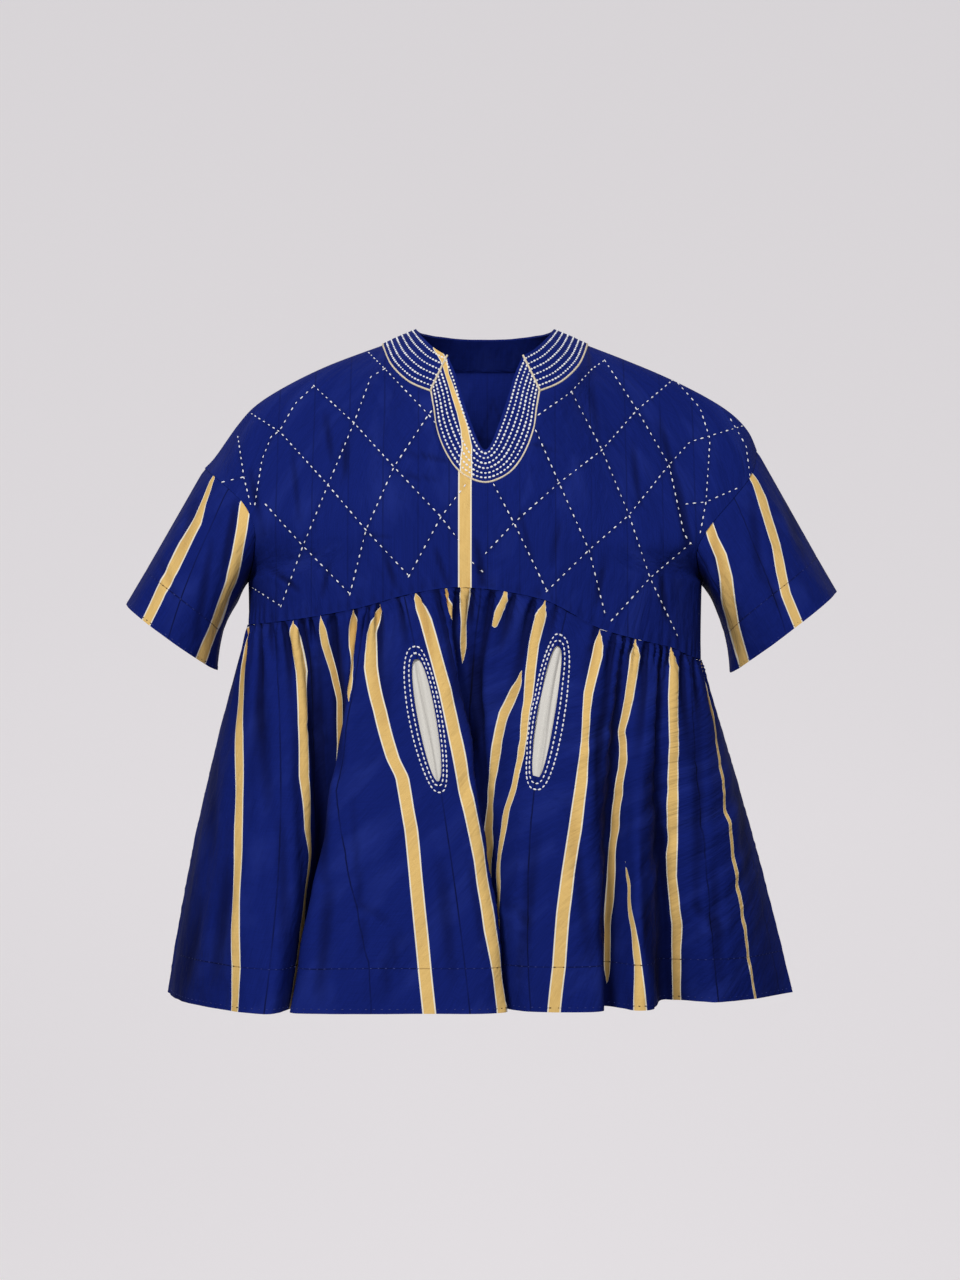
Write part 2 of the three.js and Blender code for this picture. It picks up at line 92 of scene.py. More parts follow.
# the room is as pale as the backdrop to look at, and lights the cloth only dimly
def paleRoom():
    world = bpy.data.worlds.new("studio")
    world.use_nodes = True
    tree = world.node_tree
    dim = tree.nodes["Background"]
    dim.inputs["Color"].default_value = (*lighting["world"], 1)
    dim.inputs["Strength"].default_value = lighting["worldStrength"]
    pale = tree.nodes.new("ShaderNodeBackground")
    pale.inputs["Color"].default_value = (*lighting["room"], 1)
    room = tree.nodes.new("ShaderNodeMixShader")
    tree.links.new(tree.nodes.new("ShaderNodeLightPath").outputs["Is Camera Ray"], room.inputs[0])
    tree.links.new(dim.outputs[0], room.inputs[1])
    tree.links.new(pale.outputs[0], room.inputs[2])
    tree.links.new(room.outputs[0], tree.nodes["World Output"].inputs["Surface"])
    scene.world = world


# a soft lamp that looks at the middle of the smock
def areaLight(name, place, size, power):
    data = bpy.data.lights.new(name, "AREA")
    data.size = size
    data.energy = power
    lamp = bpy.data.objects.new(name, data)
    lamp.location = place
    aim = Vector(lighting["aim"]) - Vector(place)
    lamp.rotation_euler = aim.to_track_quat("-Z", "Y").to_euler()
    scene.collection.objects.link(lamp)


paleRoom()
for row in lighting["areas"]:
    areaLight(*row)
print("camera and lights stand")


# the cloth's form: each shoulder's line and armhole from the sleeve in, by side (-1 left, 1 right)
shoulder = {
    -1: [(-328, -152), (-315, -138), (-288, -100), (-266, -77), (-229, -54), (-181, -31), (-119, -8)],
    1: [(318, -131), (308, -109), (288, -88), (257, -68), (213, -46), (168, -27), (119, -8)],
}
armhole = {
    -1: [(-328, 0, -152), (-315, -36, -162), (-296, -62, -178), (-275, -80, -199), (-263, -84, -228),
         (-266, -60, -260), (-277, 0, -286)],
    1: [(318, 0, -131), (309, -36, -160), (287, -62, -188), (260, -80, -219), (243, -84, -246),
        (244, -60, -268), (254, 0, -286)],
}
cuff = {
    -1: {"top": (-419, -311), "bottom": (-313, -388)},
    1: {"top": (411, -296), "bottom": (286, -391)},
    "halfDepth": 84, "underBelly": 11, "sideBelly": 5,
}
yokeForm = {
    "shoulderColumns": 7, "armholeRows": 8, "sideRows": 3,
    "rowCrowd": 1.25, "columnCrowd": 1.25, "swell": (2.2, 0.6), "sleeveReach": 0.3, "square": 4,
    "ringRows": (2, 6),     # over these rows the draped shoulders become rings round the body
}
spokes = {"all": 26, "right": 16, "backMiddle": 21, "placket": (3, 13)}
# inner edge and outer line of the neck's band, from the shoulder to the middle
neckFront = [
    ((80, 0, 9), (119, 0, -8)), ((71, -32, -4), (108, -52, -36)), ((58, -55, -18), (87, -80, -58)),
    ((43, -70, -28), (62, -95, -70)), ((34, -83, -50), (59, -102, -88)), ((25, -95, -80), (55, -108, -114)),
    ((16, -104, -107), (44, -114, -142)), ((7, -111, -130), (27, -119, -164)),
    ((0, -113, -138), (0, -121, -175)),
]
neckBack = [
    ((80, 0, 9), (119, 0, -8)), ((75, 30, 8), (111, 42, -20)), ((60, 54, 7), (90, 74, -25)),
    ((41, 68, 6), (62, 94, -28)), ((21, 75, 5), (31, 105, -30)), ((0, 77, 5), (0, 109, -30)),
]
# place and height of the seam between yoke and skirt, then the folds of the skirt: each one's place along the
# seam, halfway and at the hem, then its depth halfway and at the hem
seamFront = np.array([(-276, -335), (-220, -330), (-148, -318), (-78, -300), (-20, -294), (67, -308),
                      (132, -341), (212, -361), (252, -376)], float)
seamBack = np.array([(-276, -335), (-180, -326), (-60, -318), (80, -327), (180, -350), (252, -376)], float)
frontFolds = np.array([
    (-276, -330, -371, 0, 0), (-273, -314, -343, -70, -95), (-268, -278, -284, -118, -176),
    (-249, -246, -256, -134, -200), (-234, -216, -234, -138, -204), (-219, -201, -221, -122, -174),
    (-204, -192, -210, -96, -124), (-187, -178, -197, -86, -102), (-158, -165, -198, -112, -134),
    (-139, -175, -218, -146, -188), (-127, -146, -176, -163, -206), (-113, -89, -63, -167, -204),
    (-92, -50, -18, -172, -206), (-74, -24, 10, -171, -200), (-52, -7, 24, -158, -184),
    (-40, -26, 9, -129, -152), (-27, -30, 3, -103, -118), (-7, -19, 9, -91, -98), (20, -10, 19, -118, -120),
    (45, 9, 21, -131, -138), (66, 25, 27, -152, -163), (92, 53, 50, -170, -186), (132, 102, 84, -173, -192),
    (149, 129, 127, -161, -182), (160, 138, 131, -124, -136), (172, 156, 143, -134, -141),
    (187, 174, 168, -150, -174), (196, 187, 188, -138, -158), (203, 196, 202, -108, -78),
    (214, 213, 220, -112, -74), (230, 243, 261, -108, -98), (245, 275, 305, -84, -70),
    (250, 295, 334, -48, -34), (252, 308, 360, 0, 0),
], float)
backFolds = np.array([
    (252, 308, 360, 0, 0), (250, 302, 350, 54, 62), (240, 276, 316, 104, 142), (222, 244, 272, 104, 122),
    (203, 218, 240, 134, 186), (186, 190, 206, 138, 194), (166, 166, 178, 116, 140),
    (144, 144, 152, 142, 190), (122, 117, 118, 152, 208), (98, 93, 88, 124, 154), (74, 71, 66, 150, 200),
    (50, 42, 26, 156, 212), (26, 18, 0, 120, 138), (2, -5, -28, 150, 196), (-24, -35, -64, 157, 214),
    (-50, -62, -92, 128, 160), (-76, -86, -112, 150, 198), (-102, -114, -146, 152, 206),
    (-128, -142, -170, 118, 142), (-153, -166, -192, 140, 186), (-178, -194, -226, 138, 190),
    (-201, -220, -254, 108, 128), (-224, -248, -284, 116, 158), (-250, -284, -322, 100, 136),
    (-272, -322, -360, 52, 64), (-276, -330, -371, 0, 0),
], float)


def mix(start, end, share):
    return start + (end - start) * share


def smoothStep(value, low, high):
    part = np.clip((value - low) / (high - low), 0, 1)
    return part * part * (3 - 2 * part)


def bell(away, half):
    return np.exp(-(away / half) ** 2)


# smooth line through the rows of a table, read at fractional row numbers
def smooth(rows, at):
    rows = np.asarray(rows, float)
    at = np.asarray(at, float)
    last = len(rows) - 1
    row = np.clip(np.floor(at), 0, last - 1).astype(int)
    part = at - row
    if rows.ndim > 1:
        part = part[..., None]
    before, here, after, beyond = (rows[np.clip(row + k, 0, last)] for k in (-1, 0, 1, 2))
    square, cube = part ** 2, part ** 3
    return ((2 * cube - 3 * square + 1) * here + (cube - 2 * square + part) * (after - before) / 2
            + (3 * square - 2 * cube) * after + (cube - square) * (beyond - here) / 2)


# height of a seam at places across the body
def level(line, across):
    across = np.asarray(across, float)
    row = np.clip(np.searchsorted(line[:, 0], across, side="left") - 1, 0, len(line) - 2)
    part = np.clip((across - line[row, 0]) / (line[row + 1, 0] - line[row, 0]), 0, 1)
    return smooth(line[:, 1], row + part)


def halfWidth(across):
    return np.where(np.asarray(across) < 0, garment["halfLeft"], garment["halfRight"])


# how far the body's ring stands out at places across it
def bodyDepth(across, depth):
    reach = np.minimum(1, np.abs(across) / halfWidth(across))
    return depth * (1 - reach ** garment["waistRound"]) ** (1 / garment["waistRound"])


# the neck's band is a closed round of spokes from the left shoulder over the front, the right and the back
def spokeRow(number):
    number %= spokes["all"]
    if number <= spokes["right"] / 2:
        side, table, at = -1, neckFront, number
    elif number <= spokes["right"]:
        side, table, at = 1, neckFront, spokes["right"] - number
    elif number <= spokes["backMiddle"]:
        side, table, at = 1, neckBack, number - spokes["right"]
    else:
        side, table, at = -1, neckBack, spokes["all"] - number
    edge, line = table[at]
    return side * edge[0], edge[1], edge[2], side * line[0], line[1], line[2]


placketStart, placketEnd = spokes["placket"]
bandEnd = placketStart + spokes["all"]
placketSpokes = [spokeRow(k) for k in range(placketStart, placketEnd + 1)]
neckbandSpokes = [spokeRow(k) for k in range(placketEnd, bandEnd + 1)]


# a place on the band at a spoke number and a share of the way from its inner edge to its outer line
def bandPoint(at, share):
    at = np.asarray(at, float) % spokes["all"]
    inPlacket = (at >= placketStart) & (at <= placketEnd)
    low = smooth(placketSpokes, np.where(inPlacket, at - placketStart, 0))
    turned = np.where(at < placketStart, at + spokes["all"] - placketEnd, at - placketEnd)
    high = smooth(neckbandSpokes, np.where(inPlacket, 0, turned))
    row = np.where(inPlacket[..., None], low, high)
    share = np.asarray(share, float)[..., None]
    return mix(row[..., :3], row[..., 3:], share)


# the spoke number that many spokes from a shoulder over one quarter of the neck
def quarterTurn(side, face, count):
    if face < 0:
        return count if side < 0 else spokes["right"] - count
    return spokes["all"] - count if side < 0 else spokes["right"] + count


# place on the armhole's edge, counted from the shoulder to the armpit
def armholePoint(side, face, row):
    place = smooth(armhole[side], np.asarray(row) * (len(armhole[side]) - 1) / yokeForm["armholeRows"])
    place[..., 1] *= -face
    return place


# one quarter of the yoke at rows from the shoulder down and columns from the sleeve in
def yokePoints(side, face, rowsAt, columnsAt):
    neck, depth, line = ((neckFront, garment["waistFront"], seamFront) if face < 0
                         else (neckBack, garment["waistBack"], seamBack))
    shoulderColumns, armholeRows = yokeForm["shoulderColumns"], yokeForm["armholeRows"]
    columns = shoulderColumns + len(neck) - 1
    rows = armholeRows + yokeForm["sideRows"]
    lastSpoke = neck[-1][1]
    half = float(halfWidth(side))
    sideX, sideZ = side * half, float(level(line, side * half))
    middleZ = float(level(line, 0))

    def top(at):
        at = np.asarray(at, float)
        along = np.minimum(at, shoulderColumns) / shoulderColumns
        ridge = smooth(shoulder[side], along * (len(shoulder[side]) - 1))
        ridge = np.stack([ridge[..., 0], 0 * at, ridge[..., 1]], -1)
        turn = quarterTurn(side, face, np.maximum(at - shoulderColumns, 0))
        return np.where((at >= shoulderColumns)[..., None], bandPoint(turn, np.ones_like(at)), ridge)

    def bottom(at):
        turn = math.pi / 2 * (1 - np.asarray(at, float) / columns)
        across = side * half * np.sin(turn) ** yokeForm["columnCrowd"]
        return np.stack([across, face * bodyDepth(across, depth), level(line, across)], -1)

    def outer(at):
        at = np.asarray(at, float)
        hole = armholePoint(side, face, np.minimum(at, armholeRows))
        part = np.clip((at - armholeRows) / (rows - armholeRows), 0, 1)
        pit = armhole[side][-1]
        below = np.stack([mix(pit[0], sideX, np.sqrt(part)), 0 * at, mix(pit[2], sideZ, part)], -1)
        return np.where((at <= armholeRows)[..., None], hole, below)

    inward = (np.asarray(columnsAt, float) / columns)[None, :]
    downward = ((np.asarray(rowsAt, float) / rows) ** yokeForm["rowCrowd"])[:, None]
    up, low = top(columnsAt)[None], bottom(columnsAt)[None]
    arm = outer(rowsAt)[:, None]
    centreX = 0 * downward
    centreZ = mix(lastSpoke[2], middleZ, downward)
    corners = [top(0.0), top(float(columns)), bottom(0.0), bottom(float(columns))]

    def blend(k, centre):
        return (mix(up[..., k], low[..., k], downward) + mix(arm[..., k], centre, inward)
                - mix(mix(corners[0][k], corners[1][k], inward), mix(corners[2][k], corners[3][k], inward),
                      downward))

    # cloth draped over the shoulder: the body's depth and the sleeve's depth run into one another
    early, late = yokeForm["swell"]
    swell = (1 - (1 - downward) ** early) ** late
    body = np.abs(mix(up[..., 1], low[..., 1], swell))
    armDepth = np.abs(arm[..., 1])
    sleeveDepth = armDepth * bell(inward, yokeForm["sleeveReach"])
    square = yokeForm["square"]
    draped = np.stack([blend(0, centreX), face * (body ** square + sleeveDepth ** square) ** (1 / square),
                       blend(2, centreZ)], -1)

    # a ring round the body at the height of each lower row
    power = garment["waistRound"]
    deep = mix(abs(lastSpoke[1]), depth, swell)
    start = np.arccos(np.clip(armDepth / deep, 0, 1))
    reach = np.abs(arm[..., 0])
    wide = reach / np.maximum(1e-6, 1 - np.clip(armDepth / deep, 0, 0.999) ** power) ** (1 / power)
    out = reach * np.sin(start * (1 - inward)) / np.sin(start)
    ringY = deep * np.maximum(0, 1 - (out / wide) ** power) ** (1 / power)
    bow = level(line, side * out) - mix(sideZ, middleZ, inward)
    ringZ = mix(arm[..., 2], centreZ, inward) + bow * downward * downward
    ring = np.stack([side * out, face * ringY, ringZ], -1)
    share = smoothStep(np.asarray(rowsAt, float), *yokeForm["ringRows"])[:, None, None]
    return mix(draped, ring, share)


# sleeve at shares of the way from its seam to the cuff and at numbers round the armhole,
# 0 at the shoulder, over the front, 8 at the armpit and on over the back
def sleevePoints(side, shares, around):
    number = np.asarray(around, float)
    pit = yokeForm["armholeRows"]
    front = number <= pit
    start = np.where(front[:, None], armholePoint(side, -1, np.where(front, number, 0)),
                     armholePoint(side, 1, np.where(front, 0, 2 * pit - number)))
    turn = math.pi * number / pit
    under = (1 - np.cos(turn)) / 2
    opening = cuff[side]
    end = np.stack([mix(opening["top"][0], opening["bottom"][0], under), -cuff["halfDepth"] * np.sin(turn),
                    mix(opening["top"][1], opening["bottom"][1], under)], -1)
    share = np.asarray(shares, float)[:, None]
    belly = np.sin(math.pi * share)
    place = mix(start[None], end[None], share[..., None])
    place[..., 0] += side * cuff["underBelly"] * belly * under ** 2
    place[..., 1] -= cuff["sideBelly"] * belly * np.sin(turn)
    return place


# how each half of the skirt hangs, by face (-1 front, 1 back)
skirtForm = {
    -1: {"folds": frontFolds, "line": seamFront, "depth": garment["waistFront"]},
    1: {"folds": backFolds, "line": seamBack, "depth": garment["waistBack"]},
}


# skirt at fold numbers and at heights from the gather seam (0) to the hem (1); both are full grids
def skirtPoints(face, fold, fall):
    form, middle = skirtForm[face], garment["belly"]
    rows = smooth(form["folds"], fold)
    seamX = rows[..., 0]
    ends = np.minimum(1, np.minimum(fold, len(form["folds"]) - 1 - fold))
    gather = garment["gather"] * np.cos(2 * math.pi * fold) * (1 - fall) ** 5
    seamY = face * (bodyDepth(seamX, form["depth"]) + gather * ends)

    def through(high, belly, low):
        return (high * (fall - middle) * (fall - 1) / middle
                + belly * fall * (fall - 1) / (middle * (middle - 1))
                + low * fall * (fall - middle) / (1 - middle))

    return np.stack([through(seamX, rows[..., 1], rows[..., 2]), through(seamY, rows[..., 3], rows[..., 4]),
                     mix(level(form["line"], seamX) - garment["waistDrop"], garment["hem"], fall)], -1)


# from grids of points to sewn cloth: how each point faces, from the cells round it
def normalsOf(points, cells):
    first, second, third, fourth = (points[cells[:, k]] for k in range(4))
    faces = np.cross(third - first, fourth - second)
    total = np.zeros_like(points)
    for k in range(4):
        np.add.at(total, cells[:, k], faces)
    return total / np.maximum(np.linalg.norm(total, axis=1, keepdims=True), 1e-9)


# lengths along a grid's rows and columns, in millimetres
def lengths(grid):
    across = np.linalg.norm(np.diff(grid, axis=1), axis=2)
    down = np.linalg.norm(np.diff(grid, axis=0), axis=2)
    across = np.concatenate([0 * across[:, :1], np.cumsum(across, 1)], 1)
    down = np.concatenate([0 * down[:1], np.cumsum(down, 0)], 0)
    return across, down


# soft unevenness: a few long waves in chance directions
waves = {"count": 7, "lean": 0.55, "sizes": (0.6, 1.7)}


def ripple(across, down, seed, length, stretch=1.0):
    chance = np.random.default_rng(seed)
    total = 0
    for _ in range(waves["count"]):
        lean = chance.normal(0, waves["lean"])
        size = length * chance.uniform(*waves["sizes"])
        along = math.cos(lean) * across + math.sin(lean) * down / stretch
        total = total + np.sin(2 * math.pi / size * along + chance.uniform(0, 2 * math.pi))
    return total / math.sqrt(waves["count"])


# running average along rows that already reach beyond both ends
def averaged(rows, spread, reach):
    weights = np.exp(-0.5 * (np.arange(-reach, reach + 1) / spread) ** 2)
    weights /= weights.sum()
    columns = rows.shape[1] - 2 * reach
    return sum(weight * rows[:, k:k + columns] for k, weight in enumerate(weights))


# number of the strip at each place, from the seams' places along each row, its width and the way to a seam
def stripsFrom(across, seams):
    strip, gap = np.empty(across.shape), np.empty(across.shape)
    for row, (places, line) in enumerate(zip(across, seams)):
        gaps = np.diff(line)
        widths = np.concatenate([gaps[:1], (gaps[1:] + gaps[:-1]) / 2, gaps[-1:]])
        ends = np.concatenate([[line[0] - gaps[0] / 2], line, [line[-1] + gaps[-1] / 2]])
        numbers = np.concatenate([[-0.5], np.arange(len(line)), [len(line) - 0.5]])
        strip[row] = np.interp(places, ends, numbers)
        gap[row] = np.interp(places, line, widths)
    return strip, gap, np.abs(np.mod(strip + 0.5, 1) - 0.5) * gap


# what every corner of the cloth knows, mostly in millimetres: the way to a stripe's middle, the strip's
# number and width, the way to the hem's stitching, its share of painted shade, its place in the weave and its
# rise
shownNotes = ("stripe", "strip", "gap", "hem", "shade")
noteNames = shownNotes + ("across", "down", "rise")
plainNotes = {"stripe": 99.0, "strip": 0.5, "gap": 90.0, "hem": 99.0}


# grids of points that are sewn into one piece
class Cloth:
    def __init__(self):
        self.places, self.cells, self.count = [], [], 0
        self.notes = {name: [] for name in noteNames}

    def add(self, grid, notes, flip, keep=None):
        rows, columns = grid.shape[:2]
        index = np.arange(rows * columns).reshape(rows, columns) + self.count
        cells = np.stack([index[:-1, :-1], index[1:, :-1], index[1:, 1:], index[:-1, 1:]], -1)
        if flip:
            cells = cells[..., ::-1]
        self.cells.append(cells.reshape(-1, 4) if keep is None else cells[keep])
        self.places.append(grid.reshape(-1, 3))
        for name in noteNames:
            value = notes.get(name, plainNotes.get(name, 0.0))
            self.notes[name].append(np.broadcast_to(value, (rows, columns)).reshape(-1))
        self.count += rows * columns
        return self

    # corners that lie together become one
    def merged(self):
        places = np.concatenate(self.places)
        rounded = np.round(places * garment["mergePerMm"]).astype(np.int64)
        _, first, same = np.unique(rounded, axis=0, return_index=True, return_inverse=True)
        cells = same.reshape(-1)[np.concatenate(self.cells)]
        notes = {name: np.concatenate(values)[first] for name, values in self.notes.items()}
        used, back = np.unique(cells, return_inverse=True)
        notes = {name: values[used] for name, values in notes.items()}
        return places[first][used], back.reshape(-1, 4), notes


# closed thin wall with the outer skin at lift plus the noted rise; returns the object and its outer skin
def sew(name, cloth, material, node, thickness, lift=0.0):
    points, cells, notes = cloth.merged()
    normals = normalsOf(points, cells)
    outer = points + normals * (lift + notes["rise"])[:, None]
    inner = outer - normals * thickness
    count = len(points)
    edges = np.concatenate([cells[:, [k, (k + 1) % 4]] for k in range(4)])
    edges = edges[edges[:, 0] != edges[:, 1]]
    key = edges.min(1) * count + edges.max(1)
    _, at, times = np.unique(key, return_index=True, return_counts=True)
    rim = edges[at[times == 1]]
    rims = np.stack([rim[:, 0], rim[:, 0] + count, rim[:, 1] + count, rim[:, 1]], -1)
    faces = np.concatenate([cells, cells[:, ::-1] + count, rims])
    mesh = bpy.data.meshes.new(name)
    mesh.from_pydata((np.concatenate([outer, inner]) * 0.001).tolist(), [], faces.tolist())
    mesh.validate()
    for label in shownNotes:
        store = mesh.attributes.new(label, "FLOAT", "POINT")
        store.data.foreach_set("value", np.tile(notes[label], 2).astype(np.float32))
    weave = np.stack([notes["across"], notes["down"], 0 * notes["down"]], -1)
    store = mesh.attributes.new("weave", "FLOAT_VECTOR", "POINT")
    store.data.foreach_set("vector", np.tile(weave, (2, 1)).astype(np.float32).reshape(-1))
    mesh.shade_smooth()
    mesh.set_sharp_from_angle(angle=math.radians(garment["sharpAngle"]))
    mesh.materials.append(material)
    piece = bpy.data.objects.new(name, mesh)
    scene.collection.objects.link(piece)
    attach(piece, "root")
    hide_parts(node)
    first, second, third, fourth = (outer[cells[:, k]] for k in range(4))
    area = np.linalg.norm(np.cross(third - first, fourth - second), axis=1).sum() / 2 * 1e-6
    print(name, "sewn:", len(faces), "faces,", round(area, 3), "square metres")
    return piece, (outer, cells)


# looks: a value on a shader's socket that can be reckoned with
class Tone:
    def __init__(self, look, socket):
        self.look, self.socket = look, socket

    def maths(self, operation, *others):
        values = dict(enumerate((self, *others)))
        return self.look.node("ShaderNodeMath", {"operation": operation}, values)

    def __add__(self, other):
        return self.maths("ADD", other)

    def __sub__(self, other):
        return self.maths("SUBTRACT", other)

    def __mul__(self, other):
        return self.maths("MULTIPLY", other)

    def __rsub__(self, other):
        return self.look.node("ShaderNodeMath", {"operation": "SUBTRACT"}, {0: other, 1: self})

    __radd__ = __add__
    __rmul__ = __mul__

    # 1 where the value is under the edge, 0 above it, over a soft width
    def under(self, edge, soft):
        return self.look.node("ShaderNodeMapRange", {"interpolation_type": "SMOOTHSTEP"},
                              {"Value": self, "From Min": edge - soft, "From Max": edge + soft,
                               "To Min": 1.0, "To Max": 0.0})

    def ramped(self, low, high, first=0.0, last=1.0):
        return self.look.node("ShaderNodeMapRange", None, {"Value": self, "From Min": low, "From Max": high,
                                                           "To Min": first, "To Max": last})


# one material and the nodes that are put in it
class Look:
    def __init__(self, name, roughness, specular=0.12):
        self.material = bpy.data.materials.new(name)
        self.material.use_nodes = True
        self.tree = self.material.node_tree
        self.shader = self.tree.nodes["Principled BSDF"]
        self.shader.inputs["Roughness"].default_value = roughness
        self.shader.inputs["Specular IOR Level"].default_value = specular

    def feed(self, socket, value):
        if isinstance(value, Tone):
            self.tree.links.new(value.socket, socket)
        else:
            socket.default_value = value

    def node(self, kind, settings=None, values=None, out=0):
        made = self.tree.nodes.new(kind)
        for key, value in (settings or {}).items():
            setattr(made, key, value)
        for key, value in (values or {}).items():
            self.feed(made.inputs[key], value)
        return Tone(self, made.outputs[out])

    def note(self, name, out="Fac"):
        return self.node("ShaderNodeAttribute", {"attribute_name": name}, out=out)

    def blend(self, share, low, high):
        return self.node("ShaderNodeMix", {"data_type": "RGBA"}, {0: share, 6: low, 7: high}, out=2)

    def stretched(self, vector, scale):
        return self.node("ShaderNodeVectorMath", {"operation": "MULTIPLY"}, {0: vector, 1: scale})

    def noise(self, vector, scale, detail=2.0):
        return self.node("ShaderNodeTexNoise", None, {"Vector": vector, "Scale": scale, "Detail": detail})

    def finish(self, colour, height, distance=0.0004, strength=0.4):
        self.feed(self.shader.inputs["Base Color"], colour)
        bump = self.node("ShaderNodeBump", None, {"Height": height, "Distance": distance,
                                                  "Strength": strength})
        self.feed(self.shader.inputs["Normal"], bump)
        return self.material


# hand-loomed cotton: blue with gold warp stripes edged in cream; half widths are in millimetres
clothLook = {
    "blue": (0.0055, 0.0165, 0.185, 1), "blueDeep": (0.0035, 0.0115, 0.130, 1),
    "blueWorn": (0.014, 0.030, 0.235, 1), "worn": (0.50, 0.75, 0.0, 0.7),
    "gold": (0.90, 0.61, 0.22, 1), "goldDeep": (0.78, 0.50, 0.165, 1), "cream": (0.94, 0.87, 0.72, 1),
    "goldHalf": 6.1, "creamHalf": 7.6, "stripeSoft": 0.25,
    "seamBlue": (0.0015, 0.004, 0.045, 1), "seamGold": (0.20, 0.09, 0.02, 1), "seamGoldShare": 0.55,
    "seamHalf": 0.8, "seamUneven": (0.35, 0.62, 0.35, 1.0), "hemFainter": 0.2,
    # painted shade: tints and shares for the blue and the gold where the shade note is high
    "shadeBlue": (0.16, 0.18, 0.24), "shadeBlueShare": 0.85,
    "shadeGold": (0.46, 0.24, 0.06, 1), "shadeGoldShare": 0.5,
    # scales across and along the warp, then how much of each thread shows
    "warp": (0.9, 0.035, 1), "weft": (0.035, 0.9, 1), "clouds": (0.02, 0.012, 1), "crinkle": (0.11, 0.055, 1),
    "warpShare": 0.6, "weftShare": 0.4, "threads": (0.3, 0.7),
    "crinkleHeight": 2.2, "threadHeight": 0.4, "bumpDistance": 0.0011, "bumpStrength": 0.7, "roughness": 0.9,
}


# seamShare is how dark the seams between strips are
def loomedCloth(name, seamShare):
    values = clothLook
    look = Look(name, values["roughness"])
    weave = look.note("weave", "Vector")

    def threads(kind, detail):
        return look.noise(look.stretched(weave, values[kind]), 1.0, detail)

    streaks = threads("warp", 3.0) * values["warpShare"] + threads("weft", 3.0) * values["weftShare"]
    clouds = threads("clouds", 4.0)
    blue = look.blend(streaks.ramped(*values["threads"]), values["blueDeep"], values["blue"])
    blue = look.blend(clouds.ramped(*values["worn"]), blue, values["blueWorn"])
    strip = ((look.note("strip") + 0.5).maths("FRACT") - 0.5).maths("ABSOLUTE") * look.note("gap")
    hem = look.note("hem").maths("ABSOLUTE") + values["hemFainter"]
    seam = strip.maths("MINIMUM", hem)
    dark = seam.under(values["seamHalf"], 0.6) * clouds.ramped(*values["seamUneven"]) * seamShare
    blue = look.blend(dark, blue, values["seamBlue"])
    # painted shade: the shade note darkens the blue towards a deeper blue, and the gold towards a warm brown
    shade = look.note("shade").maths("MINIMUM", 1.0)
    blue = look.blend(shade * values["shadeBlueShare"], blue, look.stretched(blue, values["shadeBlue"]))
    gold = look.blend(streaks.ramped(*values["threads"]), values["goldDeep"], values["gold"])
    gold = look.blend(shade * values["shadeGoldShare"], gold, values["shadeGold"])
    gold = look.blend(seam.under(values["seamHalf"], 0.5) * values["seamGoldShare"], gold, values["seamGold"])
    away = look.note("stripe")
    colour = look.blend(away.under(values["creamHalf"], values["stripeSoft"]), blue, values["cream"])
    colour = look.blend(away.under(values["goldHalf"], values["stripeSoft"]), colour, gold)
    height = threads("crinkle", 3.0) * values["crinkleHeight"] + streaks * values["threadHeight"]
    return look.finish(colour, height, values["bumpDistance"], values["bumpStrength"])


def threadLook(name, colour, shade):
    look = Look(name, 0.7, 0.25)
    grain = look.noise(look.node("ShaderNodeTexCoord", out="Object"), 900.0)
    return look.finish(look.blend(grain.ramped(0.35, 0.65), shade, colour), grain, 0.0003, 0.4)


stripedCotton = loomedCloth("stripedCotton", 0.95)
quiltedCotton = loomedCloth("quiltedCotton", 0.45)
bandCotton = loomedCloth("bandCotton", 0.7)
whiteThread = threadLook("whiteThread", (0.98, 0.98, 0.99, 1), (0.90, 0.90, 0.93, 1))
darkThread = threadLook("darkThread", (0.10, 0.05, 0.02, 1), (0.05, 0.03, 0.02, 1))
blueThread = threadLook("blueThread", (0.05, 0.07, 0.30, 1), (0.02, 0.03, 0.18, 1))
creamCord = threadLook("creamCord", (0.88, 0.78, 0.60, 1), (0.66, 0.55, 0.38, 1))


# tones of the lining; crease is the painted shade along the fold down its middle
liningTones = {"light": (0.84, 0.81, 0.75, 1), "dull": (0.68, 0.65, 0.60, 1), "crease": (0.16, 0.15, 0.15, 1)}


def liningLook():
    look = Look("liningCotton", 0.88)
    grain = look.noise(look.stretched(look.note("weave", "Vector"), (1.2, 1.2, 1)), 1.0)
    # the lining's hem note holds the way to its middle crease, where painted shade darkens the cloth
    crease = look.note("hem").maths("ABSOLUTE").under(1.2, 1.2)
    tone = look.blend(grain, liningTones["dull"], liningTones["light"])
    tone = look.blend(crease * 0.35, tone, liningTones["crease"])
    return look.finish(tone, grain)


liningCotton = liningLook()
print("looks are ready")


# the point of the layout that lies before a place, as the eye sees it
def flat(places):
    share = -eye.y / (places[..., 1] - eye.y)
    return eye.x + (places[..., 0] - eye.x) * share, eye.z + (places[..., 2] - eye.z) * share


# share along a line from start to end, and distance to it
def toLine(x, z, start, end):
    way = np.array(end, float) - np.array(start, float)
    part = ((x - start[0]) * way[0] + (z - start[1]) * way[1]) / (way @ way)
    inside = np.clip(part, 0, 1)
    return part, np.hypot(x - start[0] - inside * way[0], z - start[1] - inside * way[1])


# distance from a drawn line of changing half width, scaled so that its edge lies at a full stripe's edge
def drawnStripe(places, drawn):
    x, z = flat(places)
    nearest = np.full(x.shape, plainNotes["stripe"])
    for first, second in zip(drawn[:-1], drawn[1:]):
        part, away = toLine(x, z, spot(*first[:2]), spot(*second[:2]))
        half = mix(first[2], second[2], np.clip(part, 0, 1)) * flatLayout["unit"]
        nearest = np.minimum(nearest, away * clothLook["creamHalf"] / half)
    return nearest


# creases, listed: from and to on the flat layout, depth and width in millimetres
creaseForm = {"overrun": 0.2, "fade": 1.4, "ridge": 0.55, "ridgeAt": 1.7, "ridgeHalf": 0.8}


